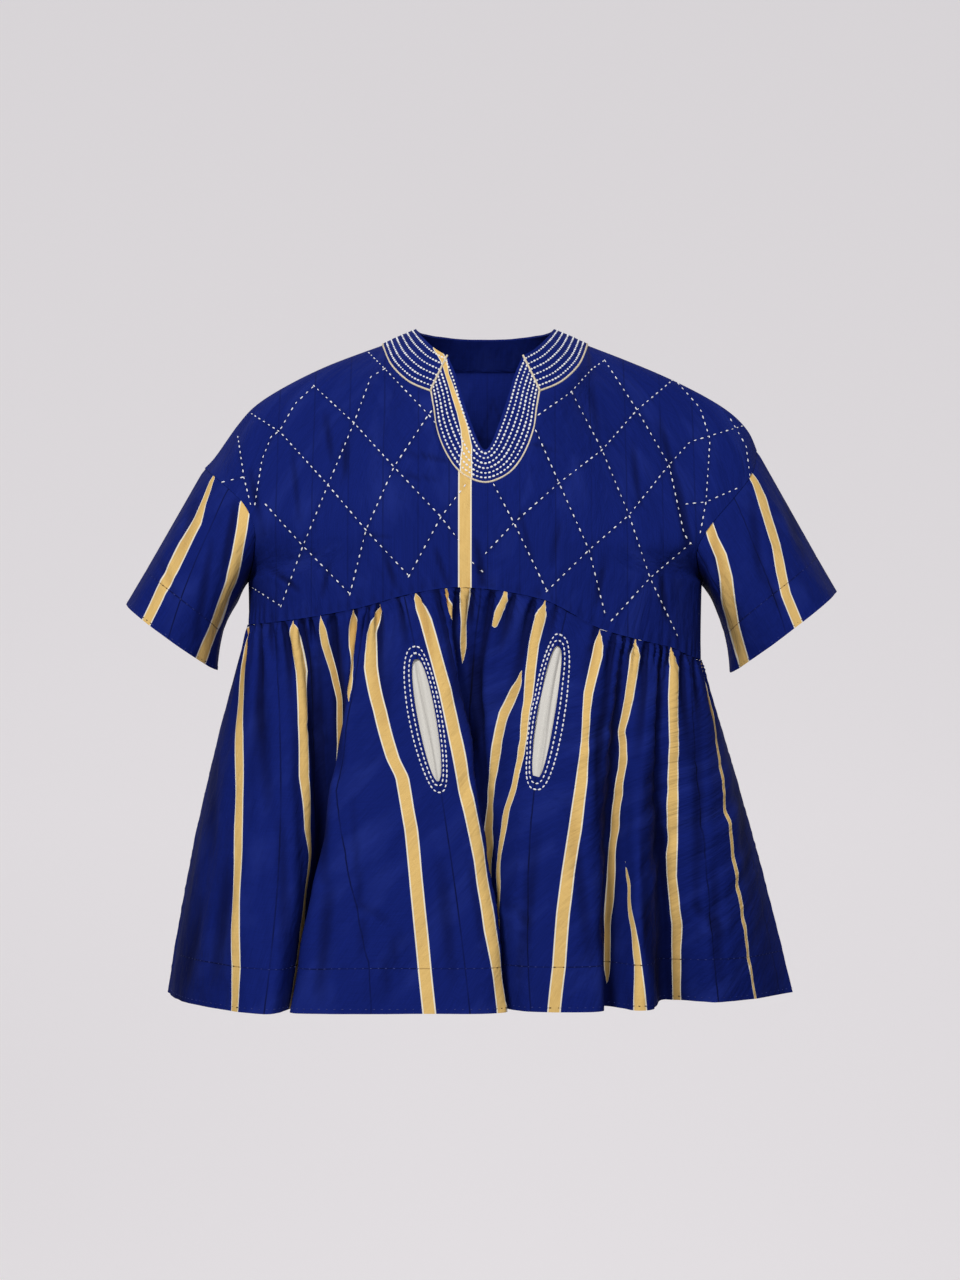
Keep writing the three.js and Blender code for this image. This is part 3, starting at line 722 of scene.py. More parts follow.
def creased(x, z, rows):
    total, form = 0, creaseForm
    for right, down, endRight, endDown, depth, width in rows:
        part, away = toLine(x, z, spot(right, down), spot(endRight, endDown))
        part = np.clip(part, -form["overrun"], 1 + form["overrun"])
        along = np.clip(1 - (2 * part - 1) ** 2 / form["fade"], 0, 1)
        away = away / width
        ridge = form["ridge"] * bell(away - form["ridgeAt"], form["ridgeHalf"])
        total = total + depth * along * (ridge - bell(away, 1))
    return total


quilting = {
    "front": [
        [(369, 353), (386, 370), (428, 414), (436, 424)],
        [(314, 386), (354, 423), (394, 467), (441, 517), (460, 542)],
        [(252, 414), (280, 432), (328, 485), (366, 530), (409, 576)],
        [(266, 505), (303, 546), (350, 594)],
        [(253, 588), (281, 606)],
        [(281, 606), (303, 546), (328, 485), (354, 423), (371, 377), (386, 368)],
        [(350, 594), (366, 530), (394, 467), (429, 414), (436, 406)],
        [(409, 576), (441, 517), (466, 484)],
        [(255, 504), (262, 460), (272, 435), (279, 432), (295, 404), (314, 386)],
        [(219, 483), (244, 477)], [(238, 437), (244, 478), (251, 506)],
        [(534, 418), (570, 393), (592, 369), (605, 360)],
        [(486, 553), (514, 523), (559, 483), (602, 450), (637, 410), (674, 379)],
        [(478, 573), (484, 571)],
        [(547, 591), (589, 550), (629, 515), (669, 465), (690, 442), (746, 425)],
        [(612, 620), (650, 578), (692, 542)], [(687, 504), (706, 502), (738, 488)],
        [(572, 393), (602, 450), (629, 515), (650, 578), (678, 637)],
        [(536, 431), (559, 483), (589, 550), (605, 614)],
        [(494, 485), (514, 523), (547, 591)], [(473, 563), (484, 573)],
        [(605, 361), (637, 410), (669, 465), (684, 534), (692, 545)],
        [(674, 379), (700, 408), (710, 439), (706, 502), (700, 534)],
        [(731, 420), (746, 446), (750, 477)],
    ],
    # the back's diamonds: sizes and heights, rows on each side, and their droop over body and shoulders
    "back": {"width": 88, "height": 118, "low": -300, "high": -62, "count": 6, "shift": 10,
             "droop": 0.06, "shoulderDrop": 0.0006},
    "sizes": {"Pitch": 0.0088, "Length": 0.0040, "Width": 0.0015, "Height": 0.0009, "Unevenness": 0.24},
    "pull": 0.55, "pullHalf": 4.5, "rowHalf": 2.0,
}


# rows of quilting on the back, as lines of the flat layout's size
def backDiamonds():
    diamond, found = quilting["back"], []
    low, high = diamond["low"], diamond["high"]
    for k in range(-diamond["count"], diamond["count"] + 1):
        for lean in (-1, 1):
            foot = k * diamond["width"] + diamond["shift"]
            end = foot + lean * diamond["width"] / 2 * (high - low) / diamond["height"]
            found.append([(foot, low - diamond["droop"] * abs(foot)), ((foot + end) / 2, (low + high) / 2),
                          (end, high - diamond["shoulderDrop"] * end ** 2)])
    return found


frontDiamonds = [[spot(*place) for place in row] for row in quilting["front"]]


# the cloth is drawn in along each row of quilting; returns the drop and how near a row lies
def pulled(x, z, lines):
    nearest = np.full(x.shape, plainNotes["stripe"])
    for line in lines:
        for start, end in zip(line[:-1], line[1:]):
            nearest = np.minimum(nearest, toLine(x, z, start, end)[1])
    return (-quilting["pull"] * bell(nearest, quilting["pullHalf"]),
            bell(nearest, quilting["rowHalf"]))


# yoke
yoke = {
    "perColumn": 8, "rows": 84, "topCrowd": 1.5, "bandRows": 8, "easeSpread": 7,
    "stripe": -22.9, "stripeTop": -150,
    "strips": (-246, -203, -160, -119, -78, -42, 3, 40, 82, 124, 166, 209, 248), "stripsOut": 0.03,
    "wrinkle": 0.8, "wrinkleSize": 70, "wrinkleStretch": 1.4, "wrinkleSeed": 5,
    "fine": 0.25, "fineSize": 17, "fineSeed": 15, "groove": 0.4, "grooveHalf": 2.5,
    "pucker": 1.0, "puckerPitch": 12.5, "puckerUneven": 0.3, "puckerSize": 60, "puckerSeed": 31,
    "puckerReach": 20,
    "creaseShade": 0.8, "creaseDeep": 1.2, "rowShade": 0.45, "puckerShade": 0.6, "puckerShadeReach": 11,
    "frontCreases": [
        (325, 412, 332, 462, 1.1, 4.5), (346, 440, 345, 478, 1.3, 5), (292, 450, 299, 522, 0.9, 4),
        (340, 483, 378, 488, 0.7, 3), (360, 534, 392, 538, 0.6, 3), (408, 452, 455, 463, 0.9, 3.5),
        (396, 474, 440, 480, 0.7, 3), (268, 566, 300, 592, 1.2, 4), (330, 560, 322, 598, 1.1, 4),
        (384, 552, 396, 588, 1.2, 4.5), (476, 540, 485, 592, 1.6, 5), (436, 548, 446, 584, 1.2, 4),
        (693, 565, 676, 478, 1.7, 6), (676, 480, 660, 420, 1.2, 5), (633, 442, 640, 508, 1.0, 4.5),
        (591, 376, 599, 438, 0.9, 4), (560, 520, 552, 566, 1.0, 4), (606, 556, 596, 606, 1.2, 4.5),
        (660, 566, 668, 620, 1.3, 4.5), (520, 512, 532, 560, 0.9, 4), (250, 470, 262, 540, 1.3, 5),
        (520, 440, 560, 452, 0.7, 3),
    ],
    "backCreases": [
        (300, 420, 318, 498, 1.2, 5), (372, 440, 366, 520, 1.0, 4.5), (430, 400, 436, 470, 0.8, 4),
        (268, 500, 284, 580, 1.5, 5.5), (340, 530, 330, 596, 1.2, 4.5), (410, 520, 422, 590, 1.3, 4.5),
        (500, 510, 492, 590, 1.1, 4), (560, 430, 552, 520, 1.0, 4.5), (604, 520, 616, 604, 1.4, 5),
        (650, 440, 664, 540, 1.2, 5), (690, 500, 676, 590, 1.5, 5.5), (470, 430, 520, 438, 0.7, 3),
        (590, 400, 640, 414, 0.8, 3.5),
    ],
}
yokeRows = yokeForm["armholeRows"] + yokeForm["sideRows"]


# the creases that run down from the neck's corners are worked out of the cloth, edges kept
def eased(grid, fall):
    reach = 3 * yoke["easeSpread"]
    outer = 2 * grid[:, :1] - grid[:, reach:0:-1]
    inner = grid[:, -2:-reach - 2:-1] * np.array([-1, 1, 1])
    soft = averaged(np.concatenate([outer, grid, inner], 1), yoke["easeSpread"], reach)
    share = smoothStep(fall, 0.0, 0.16)[:, None, None] * smoothStep(1 - fall, 0, 0.1)[:, None, None]
    return mix(grid, soft, share)


def yokeNotes(side, face, grid, rowsAt, columnsAt):
    across, down = lengths(grid)
    across = side * (across[:, -1:] - across)
    x, z = grid[..., 0], grid[..., 2]
    stripe = np.abs(x - yoke["stripe"]) + np.maximum(0, z - yoke["stripeTop"])
    if face > 0:
        stripe = stripe + plainNotes["stripe"]
    seams = np.array(yoke["strips"]) * (1 + yoke["stripsOut"] * face)
    strip, gap, away = stripsFrom(x, np.broadcast_to(seams, (len(x), len(seams))))
    fall = (rowsAt / yokeRows)[:, None]
    calm = smoothStep(fall, 0.04, 0.2) * smoothStep(columnsAt[None], 0, 1.5)
    sheer = calm * smoothStep(1 - fall, 0, 0.03)
    line = seamFront if face < 0 else seamBack
    height = z - level(line, np.clip(x, -garment["halfLeft"], garment["halfRight"]))
    uneven = yoke["puckerUneven"] * ripple(across, 0 * down, yoke["puckerSeed"] + face, yoke["puckerSize"])
    pucker = np.cos(2 * math.pi * (across / yoke["puckerPitch"] + uneven))
    if face < 0:
        worked = creased(*flat(grid), yoke["frontCreases"])
        pull, row = pulled(*flat(grid), frontDiamonds)
    else:
        worked = creased(x, z, yoke["backCreases"])
        pull, row = pulled(x, z, backDiamonds())
    # painted shade in the creases, along the rows of quilting and in the troughs of the puckers above the
    # seam
    shade = yoke["creaseShade"] * np.clip(-worked / yoke["creaseDeep"], 0, 1) + yoke["rowShade"] * row
    shade = shade + (np.clip(-yoke["puckerShade"] * pucker, 0, 1)
                     * bell(height, yoke["puckerShadeReach"]) * calm)
    wrinkle = ripple(across, down, yoke["wrinkleSeed"] + face, yoke["wrinkleSize"], yoke["wrinkleStretch"])
    rise = (yoke["wrinkle"] * calm * wrinkle
            + yoke["fine"] * calm * ripple(across, down, yoke["fineSeed"] + face, yoke["fineSize"])
            - yoke["groove"] * calm * bell(away, yoke["grooveHalf"])
            + yoke["pucker"] * bell(height, yoke["puckerReach"]) * pucker * calm
            + (worked + pull) * sheer)
    return {"stripe": stripe, "strip": strip, "gap": gap, "shade": shade * sheer, "across": across,
            "down": down,
            "rise": rise}


# both quarters of one face, with the cloth that runs on under the neck's band
def yokePiece(face):
    cloth = Cloth()
    spokeCount = len(neckFront if face < 0 else neckBack) - 1
    columns = yokeForm["shoulderColumns"] + spokeCount
    for side in (-1, 1):
        rowsAt = yokeRows * np.linspace(0, 1, yoke["rows"] + 1) ** yoke["topCrowd"]
        columnsAt = np.arange(columns * yoke["perColumn"] + 1) / yoke["perColumn"]
        grid = eased(yokePoints(side, face, rowsAt, columnsAt), rowsAt / yokeRows)
        cloth.add(grid, yokeNotes(side, face, grid, rowsAt, columnsAt), side * face < 0)
        turn = quarterTurn(side, face, np.arange(spokeCount * yoke["perColumn"] + 1) / yoke["perColumn"])
        shares = np.linspace(0, 1, yoke["bandRows"] + 1)
        under = np.stack([bandPoint(turn, np.full_like(turn, share)) for share in shares])
        cloth.add(under, {"across": under[..., 0], "down": under[..., 2]}, side * face < 0)
    name = "yoke_front" if face < 0 else "yoke_back"
    return sew("quilted_" + name, cloth, quiltedCotton, name, garment["cloth"])


yokeFront, yokeFrontSkin = yokePiece(-1)
yokeBack, yokeBackSkin = yokePiece(1)

# sleeves
sleeve = {
    "around": 8, "rows": 52, "hem": 46, "stripeStart": (-4, 16),
    "wrinkle": 1.0, "wrinkleSize": 60, "wrinkleStretch": 2.2, "wrinkleSeed": 40,
    "fine": 0.25, "fineSize": 18, "fineStretch": 1.5, "fineSeed": 50,
    "groove": 0.4, "grooveHalf": 2.2, "hemGroove": 0.35, "hemHalf": 2, "tuck": 1.2, "tuckHalf": 5,
    "creaseShade": 0.8, "creaseDeep": 1.6,
    "creases": {
        -1: [(236, 500, 222, 580, 2.0, 6), (252, 560, 236, 640, 1.6, 5), (196, 500, 178, 560, 1.2, 6),
             (212, 540, 196, 640, 1.4, 6), (160, 560, 176, 600, 0.9, 5)],
        1: [(712, 520, 724, 600, 2.0, 6), (700, 560, 722, 650, 1.7, 5), (752, 500, 762, 590, 1.3, 6),
            (786, 500, 806, 560, 1.2, 6), (764, 570, 782, 612, 1.2, 5), (724, 560, 742, 640, 1.2, 5)],
    },
    # drawn on the front: right, down and half width; counted round the armhole on the back
    "frontStripes": {
        -1: [[(214, 474, 1.0), (209, 488, 2.4), (204, 502, 3.2), (197, 522, 5.2), (184, 545, 6.0),
              (174, 566, 6.0), (161, 591, 5.6), (146, 623, 5.2), (140, 636, 5.2)],
             [(245, 503, 5.6), (242, 528, 5.6), (237, 555, 5.6), (231, 582, 5.6), (217, 620, 5.6),
              (198, 668, 5.6)]],
        1: [[(709, 524, 4.6), (713, 538, 5.2), (721, 556, 5.8), (726, 578, 6.8), (729, 603, 7.0),
             (733, 624, 6.2), (745, 668, 6.2)],
            [(751, 474, 2.4), (756, 484, 3.4), (762, 500, 4.4), (769, 523, 4.6), (776, 545, 4.6),
             (781, 572, 4.8), (786, 594, 5.0), (804, 638, 5.2)]],
    },
    "backStripes": {-1: [(14.6, 13.6), (12.0, 10.7)], 1: [(14.6, 13.2), (12.0, 10.6)]},
    "strips": [(0.2, 0.6), (2.7, 4.2), (5.6, 6.9), (8.6, 8.5), (10.6, 9.9), (13.2, 12.2)],
}


def sleevePiece(side):
    aroundAt = np.arange(2 * yokeForm["armholeRows"] * sleeve["around"] + 1) / sleeve["around"]
    shares = np.linspace(0, 1, sleeve["rows"] + 1)
    grid = sleevePoints(side, shares, aroundAt)
    across, down = lengths(grid)

    def arcAt(pair):
        places = mix(pair[0], pair[1], shares)
        return np.array([np.interp(place, aroundAt, row) for place, row in zip(places, across)])[:, None]

    stripe = np.stack([np.abs(across - arcAt(pair)) for pair in sleeve["backStripes"][side]]).min(0)
    stripe = stripe / smoothStep(down, *sleeve["stripeStart"])
    behind = np.where(aroundAt > yokeForm["armholeRows"], plainNotes["stripe"], 0)
    for drawn in sleeve["frontStripes"][side]:
        stripe = np.minimum(stripe, drawnStripe(grid, drawn) + behind)
    strip, gap, away = stripsFrom(across, np.concatenate([arcAt(pair) for pair in sleeve["strips"]], 1))
    hem = down[-1:] - down - sleeve["hem"]
    calm = smoothStep(shares, 0.0, 0.2)[:, None] * np.ones_like(across)
    calm = calm * (smoothStep(aroundAt, 0, 1)[None] * smoothStep(aroundAt[-1] - aroundAt, 0, 1)[None])
    worked = creased(*flat(grid), sleeve["creases"][side])
    wrinkle = ripple(across, down, sleeve["wrinkleSeed"] + side, sleeve["wrinkleSize"],
                     sleeve["wrinkleStretch"])
    fine = ripple(across, down, sleeve["fineSeed"] + side, sleeve["fineSize"], sleeve["fineStretch"])
    rise = ((sleeve["wrinkle"] * wrinkle + sleeve["fine"] * fine + worked) * calm
            - sleeve["groove"] * bell(away, sleeve["grooveHalf"])
            - sleeve["hemGroove"] * bell(hem, sleeve["hemHalf"])
            - sleeve["tuck"] * bell(down, sleeve["tuckHalf"]))
    # painted shade in the creases
    shade = sleeve["creaseShade"] * np.clip(-worked / sleeve["creaseDeep"], 0, 1)
    notes = {"stripe": stripe, "strip": strip, "gap": gap, "hem": hem, "across": across, "down": down,
             "shade": shade, "rise": rise}
    name = "sleeve_left" if side < 0 else "sleeve_right"
    piece, skin = sew("striped_" + name, Cloth().add(grid, notes, side > 0), stripedCotton, name,
                      garment["cloth"])
    return {"grid": grid, "notes": notes, "piece": piece, "skin": skin}


sleeves = {side: sleevePiece(side) for side in (-1, 1)}

# skirt
skirt = {
    "perFold": 12, "rows": 96, "topCrowd": 1.35, "hem": 50,
    "wrinkle": 1.2, "wrinkleSize": 75, "wrinkleStretch": 3.2, "fine": 0.35, "fineSize": 20,
    "fineStretch": 1.3,
    "gathers": 1.5, "gatherPitch": 8.5, "gatherUneven": 0.25, "gatherSize": 50, "gatherFade": 22,
    "groove": 0.6, "grooveHalf": 2.3, "hemGroove": 0.4, "hemHalf": 2.2, "puff": 0.45, "puffHalf": 9,
    "puffSize": 90,
    "flush": 0.85, "flushHalf": 6,
    "valleySpread": 15, "valleySide": 0.35, "valleyFrom": 1.5, "valleyDeep": 11,
    "pleatShade": (0.9, 1.8), "creaseShade": (0.8, 2.4), "seamShade": (0.3, 3), "valleyShade": 0.75,
    "seed": {-1: 60, 1: 80},
    "seamLevel": -320, "nearness": 0.96,     # to tell the height of a spot of the layout
    "frontCreases": [
        (216, 760, 208, 860, 2.0, 7), (228, 860, 214, 985, 2.6, 9), (200, 900, 186, 985, 2.0, 7),
        (262, 700, 270, 830, 1.5, 8), (282, 800, 286, 960, 1.8, 9), (352, 800, 368, 1000, 1.4, 5),
        (330, 880, 318, 1000, 2.2, 9), (392, 640, 384, 740, 1.2, 6), (440, 860, 452, 980, 1.8, 9),
        (356, 900, 392, 925, 1.2, 6), (400, 930, 380, 1000, 1.6, 8), (470, 860, 486, 960, 1.4, 6),
        (536, 830, 520, 980, 2.0, 9), (570, 800, 590, 960, 1.8, 8), (560, 660, 566, 740, 1.0, 5),
        (606, 700, 602, 820, 1.6, 7), (652, 760, 664, 900, 2.2, 8), (646, 900, 656, 990, 2.0, 7),
        (694, 780, 700, 940, 2.0, 8), (712, 860, 720, 985, 2.4, 8), (736, 760, 752, 900, 1.5, 6),
        (690, 900, 730, 940, 1.4, 7), (300, 720, 330, 745, 1.0, 5), (500, 900, 530, 925, 1.2, 6),
        (470, 640, 484, 820, 3.6, 7), (476, 640, 490, 860, 2.6, 7), (316, 650, 323, 880, 3.0, 8),
        (342, 630, 337, 780, 2.6, 6), (596, 690, 600, 850, 2.2, 7), (643, 760, 648, 930, 2.6, 8),
        (296, 690, 300, 900, 1.8, 7), (694, 690, 704, 860, 1.8, 7),
    ],
    "backCreases": [
        (200, 760, 182, 960, 2.2, 8), (262, 700, 250, 860, 1.6, 7), (300, 840, 286, 1000, 2.2, 9),
        (352, 720, 346, 900, 1.8, 7), (404, 800, 396, 980, 2.4, 9), (452, 680, 448, 820, 1.4, 6),
        (500, 840, 504, 1000, 2.0, 8), (548, 720, 556, 880, 1.8, 7), (598, 820, 612, 990, 2.3, 9),
        (646, 700, 660, 850, 1.5, 6), (690, 820, 712, 985, 2.2, 8), (730, 760, 752, 930, 1.8, 7),
        (380, 900, 430, 930, 1.2, 6), (560, 930, 610, 905, 1.2, 6),
    ],
    # where each stripe is expected in folds, its line on the flat layout with shares of a full stripe's
    # width, and from and to what height it shows
    "frontStripes": [
        (2.0, [(250, 624, 0.7), (243, 664, 0.85), (241, 698), (240, 735), (239, 787, 0.9), (238, 845, 0.9),
               (236, 902, 0.9), (236, 970, 0.9)]),
        (5.0, [(292, 621, 0.75), (302, 672, 0.9), (303, 725, 0.8), (304, 777, 0.8), (307, 829, 0.8),
               (309, 855, 0.8)]),
        (7.0, [(320, 613, 0.5), (326, 644, 0.55), (333, 671, 0.45), (338, 700, 0.5), (338, 728, 0.5),
               (336, 761, 0.5), (335, 779, 0.4)], None, 784),
        (8.0, [(353, 611, 0.6), (352, 646, 0.6), (350, 704, 0.6)], None, 708),
        (11.0, [(381, 600, 0.55), (377, 617, 0.65), (372, 633, 0.8), (371, 667), (380, 711), (393, 759),
                (402, 777), (411, 829), (417, 895), (425, 974), (431, 1014)]),
        (13.0, [(416, 593, 0.8), (425, 620, 0.9), (445, 690), (465, 790), (480, 860), (490, 930),
                (502, 1003)]),
        (16.0, [(465, 588, 1.0), (464, 602, 0.8), (463, 622, 0.5), (463, 650, 0.55),
                (462, 679, 0.5)], -1, 686),
        (18.8, [(519, 681, 0.7), (504, 712, 0.95), (496, 758, 0.85), (488, 830, 0.8)], 676, 900),
        (20.0, [(545, 600, 0.7), (540, 619, 0.85), (534, 643, 0.8), (530, 679, 0.8), (523, 742, 0.6),
                (514, 787, 0.5), (507, 808, 0.6), (498, 875, 0.6)], None, 940),
        (22.0, [(600, 631, 0.5), (597, 655, 0.75), (588, 694, 0.7), (586, 715, 0.6), (585, 742, 0.6),
                (582, 777, 0.85), (575, 830), (568, 875), (563, 913), (559, 967), (554, 1012)]),
        (25.0, [(635, 638, 0.65), (633, 667, 0.7), (629, 698, 0.7), (622, 731, 0.65), (624, 757, 0.7),
                (617, 803, 0.75), (612, 865, 0.75), (608, 923, 0.7), (607, 975, 0.5)], None, 988),
        (26.3, [(624, 852, 0.3), (628, 884, 0.4), (633, 925, 0.55), (637, 963, 0.75),
                (640, 1009, 0.95)], 846, None),
        (29.0, [(671, 647, 0.7), (674, 667, 0.8), (673, 698, 0.8), (674, 744, 0.75), (673, 770, 0.8),
                (672, 847, 0.85), (671, 875, 0.85), (677, 923, 0.85), (676, 947, 0.8), (677, 990, 0.7)]),
        (31.0, [(699, 660, 0.5), (706, 685, 0.7), (713, 712, 0.55), (717, 742, 0.45), (723, 788, 0.4),
                (729, 826, 0.4), (736, 875, 0.4), (742, 913, 0.4), (746, 940, 0.35), (754, 990, 0.3)]),
    ],
    # short ends of stripes that gathers hide: folds between which they lie, then right, down and half width
    "slivers": [
        (13.6, 15.1, [(446, 589, 1.2), (447, 600, 2.6), (450, 611, 2.6), (454, 624, 1.2)]),
        (17.0, 19.4, [(506, 591, 1.4), (504, 600, 3.2), (499, 612, 3.8), (495, 625, 2.4)]),
    ],
    "frontStrips": [3.5, 6.0, (10.0, [(337, 791), (345, 850), (357, 905), (369, 963), (373, 1006)]), 12.05,
                    14.0, 17.1, 21.0, 23.4, 27.6, 30.1, 32.3],
    "backStripes": [1.4, 3.9, 6.6, 9.2, 11.9, 14.3, 17.0, 19.7, 22.2, 24.4], "backSlant": 0.35,
    "backStrips": [2.6, 5.2, 7.9, 10.6, 13.1, 15.7, 18.3, 21.0, 23.4],
}
pockets = {
    "left": {"fold": 12, "half": 0.36, "top": 0.152, "bottom": 0.447, "round": 0.40, "lean": 0.2,
             "rows": ((0.10, 0.012), (0.27, 0.028))},
    "right": {"fold": 21, "half": 0.24, "top": 0.088, "bottom": 0.42, "round": 0.34, "lean": 0.0,
              "rows": ((0.08, 0.012), (0.20, 0.027))},
}
pocketEdge = {"narrowest": 0.04, "opening": 0.07}


# columns beside a slit are drawn to its outline
def drawnToSlits(fold, fall):
    for slit in pockets.values():
        away = fold - slit["fold"]
        along = np.clip(2 * (fall - slit["top"]) / (slit["bottom"] - slit["top"]) - 1, -1, 1)
        beyond = np.maximum(slit["top"] - fall, fall - slit["bottom"])
        half = slit["half"] * (1 - along ** 2) ** slit["round"] * (1 - slit["lean"] * along)
        half = np.maximum(pocketEdge["narrowest"], half)
        half = half + (0.5 - half) * smoothStep(beyond, 0, pocketEdge["opening"])
        size = np.abs(away)
        drawn = np.where(size <= 0.5, size / 0.5 * half, half + (size - 0.5) / 0.5 * (1 - half))
        fold = np.where(size < 1, slit["fold"] + np.sign(away) * drawn, fold)
    return fold


# the skirt's grid with the fold number and height of each point
def skirtSheet(face):
    columns = (len(skirtForm[face]["folds"]) - 1) * skirt["perFold"]
    fold = np.arange(columns + 1)[None] / skirt["perFold"]
    fall = (np.linspace(0, 1, skirt["rows"] + 1) ** skirt["topCrowd"])[:, None]
    fold, fall = np.broadcast_arrays(fold, fall)
    if face < 0:
        fold = drawnToSlits(fold, fall)
    grid = skirtPoints(face, fold, fall)
    across, down = lengths(grid)
    return {"face": face, "grid": grid, "fold": fold, "fall": fall, "across": across, "down": down}


def rayTree(points, cells):
    return BVHTree.FromPolygons(points.tolist(), cells.tolist())


# place on a skin that the eye sees at a spot of the layout
def seen(skinTree, across, up, behind=False):
    start = Vector((eye.x, -eye.y, eye.z)) if behind else eye
    way = (Vector((across, 0, up)) - start).normalized()
    return skinTree.ray_cast(start, way)


front, back = skirtSheet(-1), skirtSheet(1)
rowsCount, columnsCount = front["fold"].shape
index = np.arange(rowsCount * columnsCount).reshape(rowsCount, columnsCount)
frontCells = np.stack([index[:-1, :-1], index[1:, :-1], index[1:, 1:], index[:-1, 1:]], -1).reshape(-1, 4)
frontTree = rayTree(front["grid"].reshape(-1, 3), frontCells)


# fold number and height of the spot on the skirt's front
def foldAt(right, down):
    for lower in range(0, 18, 3):     # a spot just above the seam is looked for a little lower
        place, _, number, _ = seen(frontTree, *spot(right, down + lower))
        if place is not None:
            break
    else:
        return None
    grid, fold, fall = front["grid"], front["fold"], front["fall"]
    row, column = divmod(number, columnsCount - 1)
    start = grid[row, column]

    def shareTowards(corner):
        way = corner - start
        return float(np.clip((np.array(place) - start) @ way / (way @ way + 1e-9), 0, 1))

    return (mix(fold[row, column], fold[row, column + 1], shareTowards(grid[row, column + 1])),
            mix(fall[row, column], fall[row + 1, column], shareTowards(grid[row + 1, column])))


# a line given in folds down the rows, as a length along each row
def arcsAt(sheet, line):
    rows = zip(np.broadcast_to(line, len(sheet["fold"])), sheet["fold"], sheet["across"])
    return np.array([np.interp(place, fold, across) for place, fold, across in rows])[:, None]


# fold numbers and widths of a stripe down the rows of the skirt
def stripeLine(expected, drawn):
    found = []
    for right, down, *width in drawn:
        place = foldAt(right, down)
        if place and abs(place[0] - expected) < 1.3:
            found.append((place[1], place[0], *(width or (1.0,))))
    heights = front["fall"][:, 0]
    if not found:
        return np.full_like(heights, expected), np.ones_like(heights)
    found = np.array(sorted(found))
    return np.interp(heights, found[:, 0], found[:, 1]), np.interp(heights, found[:, 0], found[:, 2])


# height on the skirt, 0 to 1, of a spot so far down the layout; a missing one is beyond the given end
def heightAt(down, beyond):
    if down is None:
        return beyond
    height = eye.z - (down - flatLayout["middleDown"]) * flatLayout["unit"] * skirt["nearness"]
    return (height - skirt["seamLevel"]) / (garment["hem"] - skirt["seamLevel"])


frontStripes = []
for expected, drawn, *ends in skirt["frontStripes"]:
    line, width = stripeLine(expected, drawn)
    first, last = ends or (None, None)
    frontStripes.append((line, width, heightAt(first, -9), heightAt(last, 9)))
    print("stripe", expected, "runs", round(float(line[0]), 2), "to", round(float(line[-1]), 2))


# pleats that run down from the seam: fold number, depth, width at the seam and reach down the skirt
pleats = {
    "front": [
        (1.3, 2.2, 3.4, 0.16), (2.6, 3.1, 3.8, 0.30), (3.2, 1.5, 2.6, 0.09), (4.3, 2.6, 3.5, 0.22),
        (5.7, 3.3, 4.0, 0.34), (6.4, 2.2, 3.0, 0.15), (7.5, 3.0, 3.8, 0.26), (8.6, 2.6, 3.4, 0.19),
        (9.7, 1.8, 2.8, 0.12), (10.5, 2.5, 3.4, 0.21), (11.7, 1.9, 2.6, 0.10), (12.9, 2.3, 3.2, 0.17),
        (13.8, 3.0, 3.6, 0.28), (14.6, 1.7, 2.6, 0.11), (15.7, 2.9, 3.6, 0.23), (16.7, 2.0, 3.0, 0.14),
        (17.6, 2.8, 3.6, 0.30), (18.5, 2.2, 3.0, 0.13), (19.5, 2.7, 3.4, 0.20), (20.6, 1.6, 2.6, 0.09),
        (21.8, 2.3, 3.0, 0.12), (22.8, 3.0, 3.8, 0.27), (23.7, 2.7, 3.4, 0.31), (24.5, 2.0, 3.0, 0.16),
        (25.7, 3.1, 3.8, 0.24), (26.6, 1.8, 2.8, 0.12), (27.5, 2.9, 3.8, 0.33), (28.4, 2.4, 3.2, 0.18),
        (29.7, 2.8, 3.6, 0.25), (30.5, 2.0, 3.0, 0.14), (31.7, 2.3, 3.2, 0.20),
    ],
    "back": [(k * 0.83 + 0.28 * math.sin(7 * k), 2.4 + 0.8 * math.sin(5 * k), 3.3 + 0.5 * math.cos(3 * k),
              0.19 + 0.10 * math.sin(11 * k)) for k in range(2, 30)],
}


# every pleat is this much deeper and longer, and opens as it runs down between two low ridges
pleatForm = {"deeper": 1.5, "longer": 1.5, "spread": 1.6, "ridge": 0.6, "ridgeAt": 2.0}


def gathersAt(sheet, rows):
    total, form = 0, pleatForm
    for fold, depth, width, reach in rows:
        fall = sheet["fall"] / reach
        away = (sheet["across"] - arcsAt(sheet, fold)) / (width * (1 + form["spread"] * fall))
        fade = np.clip(1 - fall / form["longer"], 0, 1) ** 1.1
        ridge = form["ridge"] * bell(np.abs(away) - form["ridgeAt"], 1)
        total = total + form["deeper"] * depth * fade * (ridge - bell(away, 1))
    return total


# how deep each place lies between its neighbouring folds, 0 to 1, for the painted shade in the valleys
def valley(grid):
    out = np.hypot(grid[..., 0] * skirt["valleySide"], grid[..., 1])
    reach = 2 * skirt["valleySpread"]
    wide = np.concatenate([np.repeat(out[:, :1], reach, 1), out, np.repeat(out[:, -1:], reach, 1)], 1)
    deep = averaged(wide, skirt["valleySpread"], reach) - out
    return np.clip((deep - skirt["valleyFrom"]) / skirt["valleyDeep"], 0, 1)


